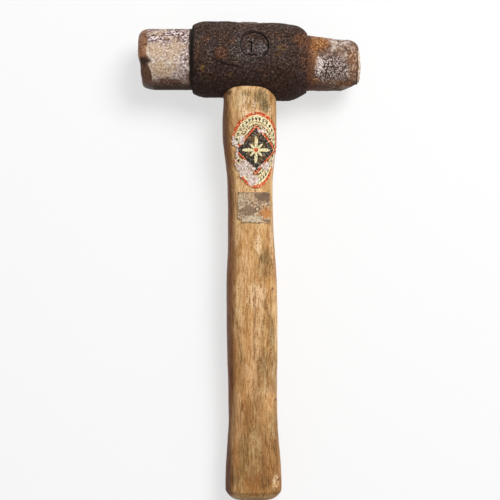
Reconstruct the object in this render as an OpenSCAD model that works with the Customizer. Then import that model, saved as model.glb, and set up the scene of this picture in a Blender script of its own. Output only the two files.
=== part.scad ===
// Two-faced soft hammer lying on its side: an iron barrel with a copper face pressed into one
// socket and a rolled rawhide face in the other, on a wooden handle wedged into the eye.
// The origin is where the barrel's axis crosses the handle's axis. X runs along the barrel from
// the copper to the rawhide, and the handle points along -Y. Sizes are in millimetres.

/* [Barrel] */
// Outer diameter of the iron barrel
barrel_d = 40; // [39.5:0.5:46]
// Length of the iron barrel from lip to lip
barrel_len = 60; // [58:1:72]
// Length over which the barrel narrows towards the copper lip
copper_shoulder = 7; // [3:0.5:10]
// Radius of the rounded edge of the copper lip
copper_lip = 1.5; // [0.5:0.25:2.25]
// Length over which the barrel narrows towards the rawhide lip
rawhide_shoulder = 13; // [6:0.5:14]
// Radius of the rounded edge of the rawhide lip
rawhide_lip = 0.5; // [0.5:0.25:2]
// Width of the flat ring on each lip
lip_land = 0.2; // [0.2:0.1:0.4]
// Chamfer on the mouths of both sockets
mouth_chamfer = 0.5; // [0.2:0.1:0.8]

/* [Copper face] */
// Diameter of the copper face
copper_d = 32; // [26:0.5:32.5]
// How far the copper stands out of its socket
copper_out = 28.2; // [15:0.2:40]
// Depth of the copper in its socket
copper_seat = 13; // [8:0.5:14]
// Radius of the worn striking edge on the copper
copper_round = 3.5; // [1:0.5:6]

/* [Rawhide face] */
// Diameter of the rawhide face where it leaves the socket
rawhide_d = 28.8; // [24:0.2:29.8]
// Diameter of the rawhide face where its rounded striking edge starts
rawhide_end_d = 26; // [22:0.5:29]
// How far the rawhide stands out of its socket
rawhide_out = 28; // [15:0.2:40]
// Depth of the rawhide in its socket
rawhide_seat = 13; // [8:0.5:14]
// Radius of the worn striking edge on the rawhide
rawhide_round = 7.5; // [4:0.5:9]
// Thickness of the rolled hide, which is the step from one turn to the next
hide_thickness = 2.2; // [1.6:0.1:3]
// Width of the open line between two turns of hide
hide_line = 0.5; // [0.3:0.1:0.8]
// Depth of that line below the striking face
hide_line_depth = 3; // [0.5:0.1:4]

/* [Eye and wedges] */
// Length of the oval eye along the barrel, at its narrow lower mouth
eye_w = 22; // [20:0.5:24]
// Width of the eye across the barrel, at its narrow lower mouth
eye_t = 18; // [15:0.5:19]
// How much wider each side of the eye is at its upper mouth
eye_flare = 0.8; // [0.2:0.1:1]
// Depth of the saw cut in the tenon, from the top of the barrel
kerf_depth = 32; // [28:1:36]
// Width of the saw cut
kerf_w = 1.2; // [0.8:0.1:1.4]
// Length of the wooden wedge, from the top of the barrel
wood_wedge_len = 27; // [22:1:27]
// Thickness of the wooden wedge at its head
wood_wedge_t = 4; // [3:0.25:5]
// Length of each steel wedge, from the top of the barrel
steel_wedge_len = 16; // [12:1:20]
// Width of each steel wedge across the wooden one
steel_wedge_w = 12; // [9:0.5:13]
// Thickness of each steel wedge at its head
steel_wedge_t = 2.6; // [2:0.1:3.2]
// Thickness of each steel wedge at its tip
steel_wedge_tip = 0.8; // [0.5:0.1:1]
// Distance between the two steel wedges
steel_wedge_pitch = 11; // [9:0.5:12]

/* [Handle] */
// Length of the handle from the barrel's axis to its butt
handle_len = 230; // [210:1:300]
// Sideways drift of the butt from the barrel's middle, towards the rawhide
handle_sway = 2.2; // [0:0.1:4]
// Width of the handle under the barrel
shoulder_w = 27.8; // [26:0.2:30]
// Thickness of the handle under the barrel
shoulder_t = 26.5; // [22:0.5:28]
// Squareness of the handle under the barrel: 2 is an ellipse, and more is squarer
shoulder_square = 3; // [2:0.1:4]
// Where the handle starts to narrow, from the barrel's axis
shoulder_to = 38; // [30:1:44]
// Width of the neck
neck_w = 23.1; // [20:0.1:26]
// Thickness of the neck
neck_t = 21; // [18:0.5:24]
// Middle of the neck, from the barrel's axis
neck_at = 73; // [66:1:78]
// Length of the straight part of the neck
neck_len = 12; // [4:1:20]
// Width of the swell in the palm
swell_w = 26.8; // [24:0.1:30]
// Thickness of the swell in the palm
swell_t = 24; // [21:0.5:28]
// Middle of the swell, from the butt
swell_at = 95; // [90:1:98]
// Length of the straight part of the swell
swell_len = 25; // [10:1:30]
// Width of the waist below the swell
waist_w = 25.7; // [22:0.1:28]
// Thickness of the waist below the swell
waist_t = 22.5; // [19:0.5:26]
// Middle of the waist, from the butt
waist_at = 49; // [44:1:58]
// Length of the straight part of the waist
waist_len = 10; // [4:1:16]
// Width of the butt where it is widest
butt_w = 29.7; // [26:0.1:34]
// Thickness of the butt where it is widest
butt_t = 26; // [22:0.5:30]
// Widest place of the butt, from its end
butt_at = 8; // [7:1:14]
// Radius of the rounded edge of the butt
butt_round = 5; // [2:0.5:6]
// Squareness of the handle below the neck: 2 is an ellipse, and more is squarer
grip_square = 2.3; // [2:0.1:4]

/* [Paper labels] */
// Length of the oval label along the handle
oval_len = 39.8; // [30:0.2:42]
// Width of the oval label round the handle
oval_w = 27; // [20:0.5:32]
// Middle of the oval label, from the barrel's axis
oval_at = 47.7; // [44:0.1:50]
// Turn of the oval label round the handle, towards the rawhide side
oval_turn = 15; // [0:1:40]
// Length of the small label along the handle
slip_len = 15.8; // [8:0.2:18]
// Width of the small label round the handle
slip_w = 19; // [10:0.5:24]
// Distance between the two labels
slip_gap = 2.2; // [1:0.2:6]
// Turn of the small label round the handle, towards the rawhide side
slip_turn = 13; // [0:1:30]
// Thickness of the paper
paper_t = 0.2; // [0.1:0.05:0.4]

/* [Size mark] */
// Diameter of the sunk round panel on the barrel
mark_d = 14.5; // [12:0.5:16]
// Distance of the panel's middle from the eye's axis, towards the rawhide
mark_x = 2.6; // [-2:0.1:5]
// Distance of the panel's middle above the barrel's axis
mark_y = 5.4; // [0:0.2:7]
// Depth of the panel
mark_depth = 0.8; // [0.4:0.1:1]
// Height of the raised numeral one in the panel
numeral_h = 8.5; // [8:0.5:10]
// Width of the strokes of the numeral
numeral_stroke = 1; // [0.8:0.1:1.6]
// Width of the numeral's foot
numeral_foot = 3.6; // [3:0.1:5]
// Distance of the numeral's stem from the panel's middle, towards the copper
numeral_left = 0.8; // [0:0.1:1.5]
// Distance of the numeral's middle below the panel's middle
numeral_drop = 0.6; // [0:0.1:1]

/* [Hidden] */

fit = 0.05; // gap between pieces that are driven together
crown_sink = 0.2; // how far the tenon's dressed end lies below the barrel's skin
steel_sink = 0.7; // how far the steel wedges are punched below the barrel's skin
paper_gap = 0.1; // glue under the paper
over = 1; // how far a cutting shape runs past what it cuts
round_fn = 96;

barrel_r = barrel_d / 2;
half_len = barrel_len / 2;
eye_r = eye_t / 2;
eye_c = (eye_w - eye_t) / 2; // offset of the eye's two end arcs from its middle
slip_at = oval_at + oval_len / 2 + slip_gap + slip_len / 2;

// Points along an arc about centre c, from angle a0 to a1, in n steps
function arc(c, r, a0, a1, n = 10) =
    [for (i = [0:n]) let (a = a0 + (a1 - a0) * i / n) c + r * [cos(a), sin(a)]];

// Barrel

function socket_r(d) = d / 2 + fit;

// One end of the barrel's outline, radius first and place along the barrel second: a long curve
// that narrows over a length, then a rounded lip of radius f outside the socket for a face
function barrel_end(length, f, face_d) =
    let (
        end_r = socket_r(face_d) + mouth_chamfer + lip_land + f,
        drop = barrel_r - end_r,
        r = (pow(length, 2) + pow(drop, 2)) / (2 * drop),
        turn = asin(length / r),
        start = half_len - f * (1 - sin(turn)) - length,
        lip_c = [barrel_r - r, start] + (r - f) * [cos(turn), sin(turn)]
    )
        concat(
            [for (i = [0:11]) let (a = turn * i / 12) [barrel_r - r, start] + r * [cos(a), sin(a)]],
            arc(lip_c, f, turn, 90, 8),
            [[0, half_len]]
        );

// A solid turned about the barrel's axis from an outline
module turned(outline) {
    rotate([0, 90, 0])
        rotate_extrude($fn = round_fn)
            polygon(outline);
}

module barrel() {
    copper_end = barrel_end(copper_shoulder, copper_lip, copper_d);
    rawhide_end = barrel_end(rawhide_shoulder, rawhide_lip, rawhide_d);
    turned(concat(
        [for (i = [len(copper_end) - 1:-1:0]) [copper_end[i].x, -copper_end[i].y]],
        rawhide_end
    ));
}

// The hole for a face: it opens towards +X at the barrel's end and has a chamfered mouth
module socket(d, depth) {
    r = socket_r(d);
    bottom = half_len - depth - fit;
    turned([
        [0, bottom], [r, bottom], [r, half_len - mouth_chamfer],
        [r + mouth_chamfer, half_len], [r + mouth_chamfer, half_len + over],
        [0, half_len + over]
    ]);
}

// The oval eye along Y, straight below the barrel's axis and flared above it
module eye_shape(gap) {
    r = eye_r - gap;
    top = barrel_r + over;
    flare_r = r + eye_flare * top / barrel_r;
    for (side = [-1, 1])
        translate([side * eye_c, 0, 0])
            rotate([-90, 0, 0]) {
                translate([0, 0, -top])
                    cylinder(h = top, r = r, $fn = round_fn);
                cylinder(h = top, r1 = r, r2 = flare_r, $fn = round_fn);
            }
    // The flat sides between the two end arcs
    rotate([90, 0, 90])
        translate([0, 0, -eye_c])
            linear_extrude(2 * eye_c)
                polygon([
                    [-top, -r], [0, -r], [top, -flare_r], [top, flare_r], [0, r], [-top, r]
                ]);
}

// What lies within a radius of the barrel's axis
module near_barrel(r) {
    rotate([0, 90, 0])
        cylinder(h = barrel_len, r = r, center = true, $fn = round_fn);
}

// The numeral one: a stem, a flag and a foot, as it is seen from above
module numeral_one() {
    stem = numeral_stroke;
    top = numeral_h / 2;
    translate([-stem / 2, -top])
        square([stem, numeral_h]);
    translate([-numeral_foot / 2, -top])
        square([numeral_foot, stem * 0.8]);
    polygon([
        [-stem / 2, top], [-stem / 2, top - stem * 1.1],
        [-stem * 1.7, top - stem * 2], [-stem * 1.7, top - stem * 1.1]
    ]);
}

// The sunk round panel with its raised numeral, as one cutting shape
module mark_cut() {
    difference() {
        translate([mark_x, mark_y, 0])
            difference() {
                cylinder(h = barrel_r + over, d = mark_d, $fn = round_fn);
                linear_extrude(barrel_r + 2 * over)
                    translate([-numeral_left, -numeral_drop])
                        numeral_one();
            }
        near_barrel(barrel_r - mark_depth);
    }
}

module head_casting() {
    color([0.20, 0.16, 0.14])
        difference() {
            barrel();
            rotate([0, 0, 180])
                socket(copper_d, copper_seat);
            socket(rawhide_d, rawhide_seat);
            eye_shape(0);
            mark_cut();
        }
}

// Faces

module copper_face() {
    r = copper_d / 2;
    bottom = half_len - copper_seat;
    end = half_len + copper_out;
    color([0.66, 0.40, 0.28])
        rotate([0, 0, 180])
            turned(concat(
                [[0, bottom], [r - mouth_chamfer, bottom], [r, bottom + mouth_chamfer]],
                arc([r - copper_round, end - copper_round], copper_round, 0, 90),
                [[0, end]]
            ));
}

// One side of the open line between the turns of hide: a spiral from the core outwards
function spiral(turns, offset, steps = 20) = [
    for (i = [0:steps * turns])
        let (a = 360 * i / steps)
            (hide_thickness * (0.6 + a / 360) + offset) * [cos(a), sin(a)]
];

module rawhide_face() {
    r = rawhide_d / 2;
    end_r = rawhide_end_d / 2;
    bottom = half_len - rawhide_seat;
    end = half_len + rawhide_out;
    // The line goes out as far as its depth reaches under the rounded edge
    reach = end_r - rawhide_round
        + sqrt(pow(rawhide_round, 2) - pow(rawhide_round - hide_line_depth, 2));
    turns = floor(reach / hide_thickness - 0.6);
    outer = spiral(turns, hide_line / 2);
    color([0.72, 0.60, 0.46])
        difference() {
            turned(concat(
                [
                    [0, bottom], [r - mouth_chamfer, bottom],
                    [r, bottom + mouth_chamfer], [r, half_len]
                ],
                arc([end_r - rawhide_round, end - rawhide_round], rawhide_round, 0, 90),
                [[0, end]]
            ));
            translate([end - hide_line_depth, 0, 0])
                rotate([0, 90, 0])
                    linear_extrude(hide_line_depth + over)
                        polygon(concat(
                            spiral(turns, -hide_line / 2),
                            [for (i = [len(outer) - 1:-1:0]) outer[i]]
                        ));
        }
}

// Handle

// Sections down the handle: distance from the barrel's axis, width, thickness, squareness
sections = [
    [0, shoulder_w, shoulder_t, shoulder_square],
    [shoulder_to, shoulder_w, shoulder_t, shoulder_square],
    [neck_at - neck_len / 2, neck_w, neck_t, grip_square],
    [neck_at + neck_len / 2, neck_w, neck_t, grip_square],
    [handle_len - swell_at - swell_len / 2, swell_w, swell_t, grip_square],
    [handle_len - swell_at + swell_len / 2, swell_w, swell_t, grip_square],
    [handle_len - waist_at - waist_len / 2, waist_w, waist_t, grip_square],
    [handle_len - waist_at + waist_len / 2, waist_w, waist_t, grip_square],
    [handle_len - butt_at, butt_w, butt_t, grip_square],
    [handle_len, butt_w, butt_t, grip_square]
];
sides = 36;
ring_step = 4; // distance between rings down the handle
loft_from = 8; // the loft starts inside the barrel, where the scribed shoulder cuts it off

function ease(t) = t * t * (3 - 2 * t);
function part_way(a, b, d) = ease(min(1, max(0, (d - a) / (b - a))));

// One column of the sections at distance d: 1 is width, 2 is thickness and 3 is squareness
function section(d, column, i = 0) =
    i == len(sections) - 2 || d <= sections[i + 1][0]
        ? let (t = part_way(sections[i][0], sections[i + 1][0], d))
            sections[i][column] * (1 - t) + sections[i + 1][column] * t
        : section(d, column, i + 1);

// How far the rounded butt has drawn in at distance d
function butt_inset(d) =
    let (past = max(0, d - (handle_len - butt_round)))
        butt_round - sqrt(max(0, pow(butt_round, 2) - pow(past, 2)));

// A point on the handle's skin at distance d and angle a, 90 facing up, set out by a gap
function skin(d, a, gap = 0) =
    let (
        half_w = section(d, 1) / 2 - butt_inset(d) + gap,
        half_t = section(d, 2) / 2 - butt_inset(d) + gap,
        power = section(d, 3),
        r = pow(pow(abs(cos(a)) / half_w, power) + pow(abs(sin(a)) / half_t, power), -1 / power)
    )
        [handle_sway * d / handle_len + r * cos(a), -d, r * sin(a)];

// Distances of the rings: even steps down to the butt, then close steps round its edge
function ring_places() =
    let (
        last = handle_len - butt_round,
        n = ceil((last - loft_from) / ring_step)
    )
        concat(
            [for (i = [0:n]) loft_from + (last - loft_from) * i / n],
            [for (a = [22.5:22.5:90]) last + butt_round * sin(a)]
        );

module handle_loft() {
    places = ring_places();
    n = len(places);
    points = [for (d = places, j = [0:sides - 1]) skin(d, 360 * j / sides)];
    faces = concat(
        [[for (j = [0:sides - 1]) j]],
        [
            for (i = [0:n - 2], j = [0:sides - 1])
                let (k = (j + 1) % sides)
                    [i * sides + j, (i + 1) * sides + j, (i + 1) * sides + k, i * sides + k]
        ],
        [[for (j = [sides - 1:-1:0]) (n - 1) * sides + j]]
    );
    polyhedron(points = points, faces = faces, convexity = 4);
}

// A wedge along Y whose head is at the barrel's skin: it is t thick along Z at its head and
// tip thick at its tip, and w wide along X
module wedge_plate(length, w, t, tip) {
    rotate([90, 0, 90])
        translate([0, 0, -w / 2])
            linear_extrude(w)
                polygon([
                    [barrel_r + over, -t / 2], [barrel_r + over, t / 2],
                    [barrel_r - length, tip / 2], [barrel_r - length, -tip / 2]
                ]);
}

module wooden_wedge_plate(gap) {
    wedge_plate(
        wood_wedge_len + gap, 2 * eye_w, wood_wedge_t + 2 * gap, kerf_w + 2 * gap
    );
}

module steel_wedge_plate(side, gap) {
    translate([side * steel_wedge_pitch / 2, 0, 0])
        rotate([0, 90, 0])
            wedge_plate(
                steel_wedge_len + gap, steel_wedge_w + 2 * gap,
                steel_wedge_t + 2 * gap, steel_wedge_tip + 2 * gap
            );
}

module tenon() {
    intersection() {
        eye_shape(fit);
        union() {
            near_barrel(barrel_r - crown_sink);
            // Below the axis the tenon runs on into the handle
            translate([-eye_w, -barrel_r - over, -eye_w])
                cube([2 * eye_w, barrel_r, 2 * eye_w]);
        }
    }
}

module handle() {
    color([0.78, 0.58, 0.36])
        difference() {
            union() {
                difference() {
                    handle_loft();
                    near_barrel(barrel_r + fit);
                }
                tenon();
            }
            wooden_wedge_plate(fit);
            translate([-eye_w, barrel_r - kerf_depth, -kerf_w / 2])
                cube([2 * eye_w, kerf_depth, kerf_w]);
            for (side = [-1, 1])
                steel_wedge_plate(side, fit);
        }
}

module wooden_wedge() {
    color([0.70, 0.50, 0.30])
        difference() {
            intersection() {
                wooden_wedge_plate(0);
                eye_shape(fit);
                near_barrel(barrel_r - crown_sink);
            }
            for (side = [-1, 1])
                steel_wedge_plate(side, fit);
        }
}

module steel_wedge(side) {
    color([0.35, 0.34, 0.33])
        intersection() {
            steel_wedge_plate(side, 0);
            near_barrel(barrel_r - steel_sink);
        }
}

// Labels

// A sheet of paper on the handle's skin, of a length along the handle and a width w round it,
// with its middle at distance d and angle a: roundness 1 is an oval, and 0 is an oblong
module paper(d, a, length, w, roundness, cells) {
    mean_r = (section(d, 1) + section(d, 2)) / 4;
    half_turn = w / 2 / mean_r * 180 / PI;
    function at(i, j, gap) =
        let (u = 2 * i / cells - 1, v = 2 * j / cells - 1)
            skin(
                d + v * length / 2 * sqrt(1 - roundness * u * u / 2),
                a + u * half_turn * sqrt(1 - roundness * v * v / 2),
                gap
            );
    points = [
        for (gap = [paper_gap, paper_gap + paper_t], i = [0:cells], j = [0:cells])
            at(i, j, gap)
    ];
    // Number of the point in column i and row j: side 0 is against the handle, 1 is outside
    function id(side, i, j) = (side * (cells + 1) + i) * (cells + 1) + j;
    edge = concat(
        [for (i = [0:cells - 1]) [i, 0]],
        [for (j = [0:cells - 1]) [cells, j]],
        [for (i = [cells:-1:1]) [i, cells]],
        [for (j = [cells:-1:1]) [0, j]]
    );
    faces = concat(
        [
            for (i = [0:cells - 1], j = [0:cells - 1])
                each [
                    [id(0, i, j), id(0, i + 1, j), id(0, i + 1, j + 1)],
                    [id(0, i, j), id(0, i + 1, j + 1), id(0, i, j + 1)],
                    [id(1, i, j), id(1, i + 1, j + 1), id(1, i + 1, j)],
                    [id(1, i, j), id(1, i, j + 1), id(1, i + 1, j + 1)]
                ]
        ],
        [
            for (k = [0:len(edge) - 1])
                let (
                    p = edge[k],
                    q = edge[(k + 1) % len(edge)]
                )
                    each [
                        [id(0, p.x, p.y), id(1, q.x, q.y), id(0, q.x, q.y)],
                        [id(0, p.x, p.y), id(1, p.x, p.y), id(1, q.x, q.y)]
                    ]
        ]
    );
    polyhedron(points = points, faces = faces, convexity = 4);
}

module oval_label() {
    color([0.86, 0.45, 0.25])
        paper(oval_at, 90 - oval_turn, oval_len, oval_w, 1, 16);
}

module paper_slip() {
    color([0.74, 0.70, 0.62])
        paper(slip_at, 90 - slip_turn, slip_len, slip_w, 0, 12);
}

head_casting();
copper_face();
rawhide_face();
handle();
wooden_wedge();
steel_wedge(-1);  // steel_wedge_left
steel_wedge(1);  // steel_wedge_right
oval_label();
paper_slip();
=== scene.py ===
import math

import bmesh
import bpy
from mathutils import Matrix, Vector, noise


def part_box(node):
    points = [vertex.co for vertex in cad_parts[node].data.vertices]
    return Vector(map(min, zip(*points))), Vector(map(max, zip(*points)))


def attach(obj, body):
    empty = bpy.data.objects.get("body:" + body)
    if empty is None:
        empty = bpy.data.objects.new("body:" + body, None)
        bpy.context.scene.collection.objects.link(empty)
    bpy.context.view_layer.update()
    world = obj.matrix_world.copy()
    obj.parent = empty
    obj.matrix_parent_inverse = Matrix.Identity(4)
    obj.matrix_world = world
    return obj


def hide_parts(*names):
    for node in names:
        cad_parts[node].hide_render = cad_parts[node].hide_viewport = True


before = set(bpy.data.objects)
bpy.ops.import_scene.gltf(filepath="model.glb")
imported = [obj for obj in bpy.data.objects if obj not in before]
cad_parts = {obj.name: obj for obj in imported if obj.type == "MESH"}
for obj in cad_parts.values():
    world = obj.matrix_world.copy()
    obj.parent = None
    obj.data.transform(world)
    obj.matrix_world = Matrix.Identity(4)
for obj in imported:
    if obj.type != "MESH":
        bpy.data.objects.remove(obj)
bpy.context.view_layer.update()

mm = 0.001
coarser = 1  # wider cells while trying things


def boxInMm(node):
    low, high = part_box(node)
    return low / mm, high / mm


# Small maths that every piece uses

def clamp(value, low=0.0, high=1.0):
    return max(low, min(high, value))


def ease(low, high, value):
    t = clamp((value - low) / (high - low))
    return t * t * (3 - 2 * t)


def mix(a, b, share):
    return a + (b - a) * share


def waves(p, size, octaves=3):
    return noise.fractal(p / size, 0.7, 2.1, octaves)


def stretched(p, across, along):
    # the same place in a noise that is drawn out along the handle
    return Vector((p.x / across, p.y / along, p.z / across))


def stain(p, place, ragged=0.35):
    # 1 in the middle of a stain on the upper side and 0 outside it, with a ragged edge
    x, y, halfX, halfY = place[:4]
    if p.z < 0 or abs(p.x - x) > 1.7 * halfX or abs(p.y - y) > 1.7 * halfY:
        return 0.0
    away = math.hypot((p.x - x) / halfX, (p.y - y) / halfY)
    away += ragged * waves(p, 0.5 * min(halfX, halfY) + 0.4)
    return 1 - ease(0.55, 1.15, away)


def stains(p, places):
    return max(place[4] * stain(p, place) for place in places)


def offLine(x, y, a, b):
    # distance of a point from the line between a and b, seen from above
    dx, dy = b[0] - a[0], b[1] - a[1]
    t = clamp(((x - a[0]) * dx + (y - a[1]) * dy) / (dx * dx + dy * dy))
    return math.hypot(x - a[0] - t * dx, y - a[1] - t * dy)


# Nodes for the materials

building = {}  # the material or world whose nodes are being laid out


def tone(red, green, blue):
    # a colour as it looks on a screen, 0 to 255, as Blender's linear colour
    linear = [(c / 255 / 12.92) if c < 11 else ((c / 255 + 0.055) / 1.055) ** 2.4
              for c in (red, green, blue)]
    return (*linear, 1)


def mixTone(colour, share):
    # the same colour, darker and a little redder
    red, green, blue = colour[:3]
    return red * share, green * share * 0.94, blue * share * 0.85, 1


def feed(socket, value):
    # a value can be a plain one or come from another node
    if isinstance(value, bpy.types.NodeSocket):
        building["tree"].links.new(value, socket)
    else:
        socket.default_value = value


def wire(kind, sockets, output=0, **settings):
    # a new node, with its sockets fed, and one of its outputs
    node = building["tree"].nodes.new(kind)
    for name, value in settings.items():
        setattr(node, name, value)
    for name, value in sockets.items():
        feed(node.inputs[name], value)
    return node.outputs[output]


def startMaterial(name, specular):
    material = bpy.data.materials.new(name)
    material.use_nodes = True
    tree = material.node_tree
    shader = tree.nodes["Principled BSDF"]
    shader.inputs["Specular IOR Level"].default_value = specular
    place = tree.nodes.new("ShaderNodeTexCoord").outputs["Object"]
    building.update(material=material, tree=tree, shader=shader, place=place)


def speckle(size, detail=3, rough=0.6, stretch=(1, 1, 1), warp=0):
    # noise whose lumps are about size mm across
    place = building["place"]
    if stretch != (1, 1, 1):
        place = wire("ShaderNodeMapping", {"Vector": place, "Scale": stretch})
    return wire("ShaderNodeTexNoise", {
        "Vector": place, "Scale": 0.6 / (size * mm), "Detail": detail,
        "Roughness": rough, "Distortion": warp})


def between(value, low, high, toLow=0, toHigh=1):
    return wire("ShaderNodeMapRange", {
        "Value": value, "From Min": low, "From Max": high,
        "To Min": toLow, "To Max": toHigh}, interpolation_type="SMOOTHSTEP")


def maths(operation, a, b=0.5):
    return wire("ShaderNodeMath", {0: a, 1: b}, operation=operation)


def times(a, b):
    return maths("MULTIPLY", a, b)


def plus(a, b):
    return maths("ADD", a, b)


def minus(a, b):
    return maths("SUBTRACT", a, b)


def mask(name):
    return wire("ShaderNodeAttribute", {}, output=2, attribute_name=name)


def colours(share, a, b, blend="MIX"):
    return wire("ShaderNodeMix", {0: share, 6: a, 7: b}, output=2, data_type="RGBA",
                blend_type=blend)


def over(colour, *layers):
    # lays layers over a colour: how much of each shows, its colour and how it blends
    for share, top, *blend in layers:
        colour = colours(share, colour, top, *blend)
    return colour


def ramp(value, stops):
    # a colour for each place along a value
    colour = wire("ShaderNodeValToRGB", {"Fac": value})
    elements = colour.node.color_ramp.elements
    for element, stop in ((elements[0], stops[0]), (elements[1], stops[-1])):
        element.position, element.color = stop
    for place, shade in stops[1:-1]:
        elements.new(place).color = shade
    return colour


def toneRamp(value, rows):
    # a ramp from rows of place, red, green and blue
    return ramp(value, [(place, tone(*colour)) for place, *colour in rows])


def finishMaterial(colour, roughness, relief=None, metal=0):
    # relief is a height and how many mm of it the light shows
    inputs = building["shader"].inputs
    feed(inputs["Base Color"], colour)
    feed(inputs["Roughness"], roughness)
    feed(inputs["Metallic"], metal)
    if relief:
        height, depth = relief
        feed(inputs["Normal"], wire("ShaderNodeBump", {
            "Height": height, "Distance": depth * mm, "Strength": 1}))
    return building["material"]


# Meshes

def paint(bm, masks):
    # each mask is a value from 0 to 1 at every vertex, which the material reads by its name
    layers = [(bm.verts.layers.float.new(name), value) for name, value in masks.items()]
    for v in bm.verts:
        for layer, value in layers:
            v[layer] = clamp(value(v.co))


def makePiece(name, bm, material=None):
    mesh = bpy.data.meshes.new(name)
    bm.to_mesh(mesh)
    bm.free()
    for polygon in mesh.polygons:
        polygon.use_smooth = True
    piece = bpy.data.objects.new(name, mesh)
    bpy.context.scene.collection.objects.link(piece)
    if material:
        mesh.materials.append(material)
    return piece


def addToHammer(name, bm, node, material):
    bm.transform(Matrix.Scale(mm, 4))
    piece = makePiece(name, bm, material)
    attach(piece, "root")
    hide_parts(node)
    triangles = sum(len(p.vertices) - 2 for p in piece.data.polygons)
    print(name, "has", triangles, "triangles")
    return piece


def cutAway(bm, cutters):
    # takes the cutters' shapes out of a mesh and gives the rest back
    piece = makePiece("beingCut", bm)
    blocks = [makePiece("cutter", cutter) for cutter in cutters]
    for block in blocks:
        cut = piece.modifiers.new("cut", "BOOLEAN")
        cut.operation = "DIFFERENCE"
        cut.solver = "EXACT"
        cut.object = block
    bpy.context.view_layer.update()
    result = piece.evaluated_get(bpy.context.evaluated_depsgraph_get()).to_mesh()
    rest = bmesh.new()
    rest.from_mesh(result)
    for used in (piece, *blocks):
        mesh = used.data
        bpy.data.objects.remove(used)
        bpy.data.meshes.remove(mesh)
    return rest


def arcPoints(middleX, middleR, radius, start, end, count):
    # angle 0 points away from the barrel's axis and 90 points along +X
    angles = [math.radians(mix(start, end, i / count)) for i in range(count + 1)]
    return [(middleX + radius * math.sin(a), middleR + radius * math.cos(a)) for a in angles]


def spinProfile(points, cell, fineFrom, fineTo):
    # turns a profile of (x, radius) points about the barrel's axis, with small cells on the
    # stretch between two of its points, which is the skin that shows
    bm = bmesh.new()
    skin = bm.verts.layers.float.new("skin")
    verts = [bm.verts.new((x, r, 0)) for x, r in points]
    for v in verts[fineFrom:fineTo + 1]:
        v[skin] = 1
    edges = [bm.edges.new(pair) for pair in zip(verts, verts[1:])]
    for edge in edges[fineFrom:fineTo]:
        cuts = round(edge.calc_length() / cell) - 1
        if cuts > 0:
            bmesh.ops.subdivide_edges(bm, edges=[edge], cuts=cuts)
    steps = round(2 * math.pi * max(r for x, r in points) / cell)
    bmesh.ops.spin(bm, geom=bm.verts[:] + bm.edges[:], cent=(0, 0, 0), axis=(1, 0, 0),
                   angle=2 * math.pi, steps=steps, use_merge=True)
    bmesh.ops.remove_doubles(bm, verts=bm.verts, dist=0.002)
    bmesh.ops.recalc_face_normals(bm, faces=bm.faces)
    return bm


def refine(bm, where):
    # halves the cells in the places that a test picks
    edges = [e for e in bm.edges if where(e.verts[0].co) and where(e.verts[1].co)]
    bmesh.ops.subdivide_edges(bm, edges=edges, cuts=1, use_grid_fill=True)


def shapeSkin(bm, height):
    # moves the skin in or out along its normal
    skin = bm.verts.layers.float["skin"]
    bm.normal_update()
    moves = [(v, v.normal * height(v.co) * v[skin]) for v in bm.verts if v[skin] > 0]
    for v, move in moves:
        v.co += move


# The head's lean, which the photo shows

head = {
    "drop": 0.032,  # how far the head leans down towards the rawhide, for each mm along it
    "bend": 0.032,  # how much more the rawhide side leans than the copper side
    "bendOver": 8,  # mm to each side of the eye over which the lean changes
}


def droop(x):
    reach = head["bendOver"]
    return -head["drop"] * x - head["bend"] * (math.hypot(x, reach) - reach)


def leanHead(bm):
    for v in bm.verts:
        v.co.y += droop(v.co.x)


# Camera, light and floor

studio = {
    "cameraHeight": 750,  # mm above the barrel's axis
    "cameraOver": (0.26, -99.75),  # the place it looks straight down on
    "viewWidth": 262.5,  # mm across the picture at the barrel's axis
    "sensor": 36,
    "keyFrom": (0.40, 0.50, 0.95),  # direction of the softbox, seen from the hammer's middle
    "keyOver": (0, -0.1, 0),  # metres, as are the two below
    "keyDistance": 1.3,
    "keySize": 0.6,
    "keyPower": 14.5,
    "worldLevel": 0.28,
    "floorGlow": 0.65,  # how much of the floor's paleness no shadow takes away
    "floorTone": (226, 224, 222),
    "floorPatches": (232, 230, 228),
    "cameraFloorTone": (253, 253, 253),
    "floorLow": (-20.3, -13.6),  # height of the floor under the barrel and under the butt
    "buttAt": -222,
}


def makeCamera():
    data = bpy.data.cameras.new("camera")
    data.sensor_width = studio["sensor"]
    data.lens = studio["sensor"] * studio["cameraHeight"] / studio["viewWidth"]
    camera = bpy.data.objects.new("camera", data)
    x, y = studio["cameraOver"]
    camera.location = (x * mm, y * mm, studio["cameraHeight"] * mm)
    bpy.context.scene.collection.objects.link(camera)
    bpy.context.scene.camera = camera


def makeLight():
    data = bpy.data.lights.new("softbox", "AREA")
    data.size = studio["keySize"]
    data.energy = studio["keyPower"]
    lamp = bpy.data.objects.new("softbox", data)
    toLamp = Vector(studio["keyFrom"]).normalized()
    lamp.location = Vector(studio["keyOver"]) + toLamp * studio["keyDistance"]
    lamp.rotation_mode = "QUATERNION"
    lamp.rotation_quaternion = toLamp.to_track_quat("Z", "Y")
    bpy.context.scene.collection.objects.link(lamp)


def seenDirectly():
    # 1 for what the camera sees, also through glass or in a reflection
    path = wire("ShaderNodeLightPath", {}).node
    glossy = maths("MAXIMUM", path.outputs["Is Camera Ray"], path.outputs["Is Glossy Ray"])
    return maths("MAXIMUM", glossy, path.outputs["Is Transmission Ray"])


def makeWorld():
    world = bpy.data.worlds.new("room")
    world.use_nodes = True
    bpy.context.scene.world = world
    building["tree"] = world.node_tree
    room = world.node_tree.nodes["Background"]
    feed(room.inputs["Color"], (1, 1, 1, 1))
    feed(room.inputs["Strength"], wire("ShaderNodeMapRange", {
        "Value": seenDirectly(), "To Min": studio["worldLevel"], "To Max": 1}))


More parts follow.
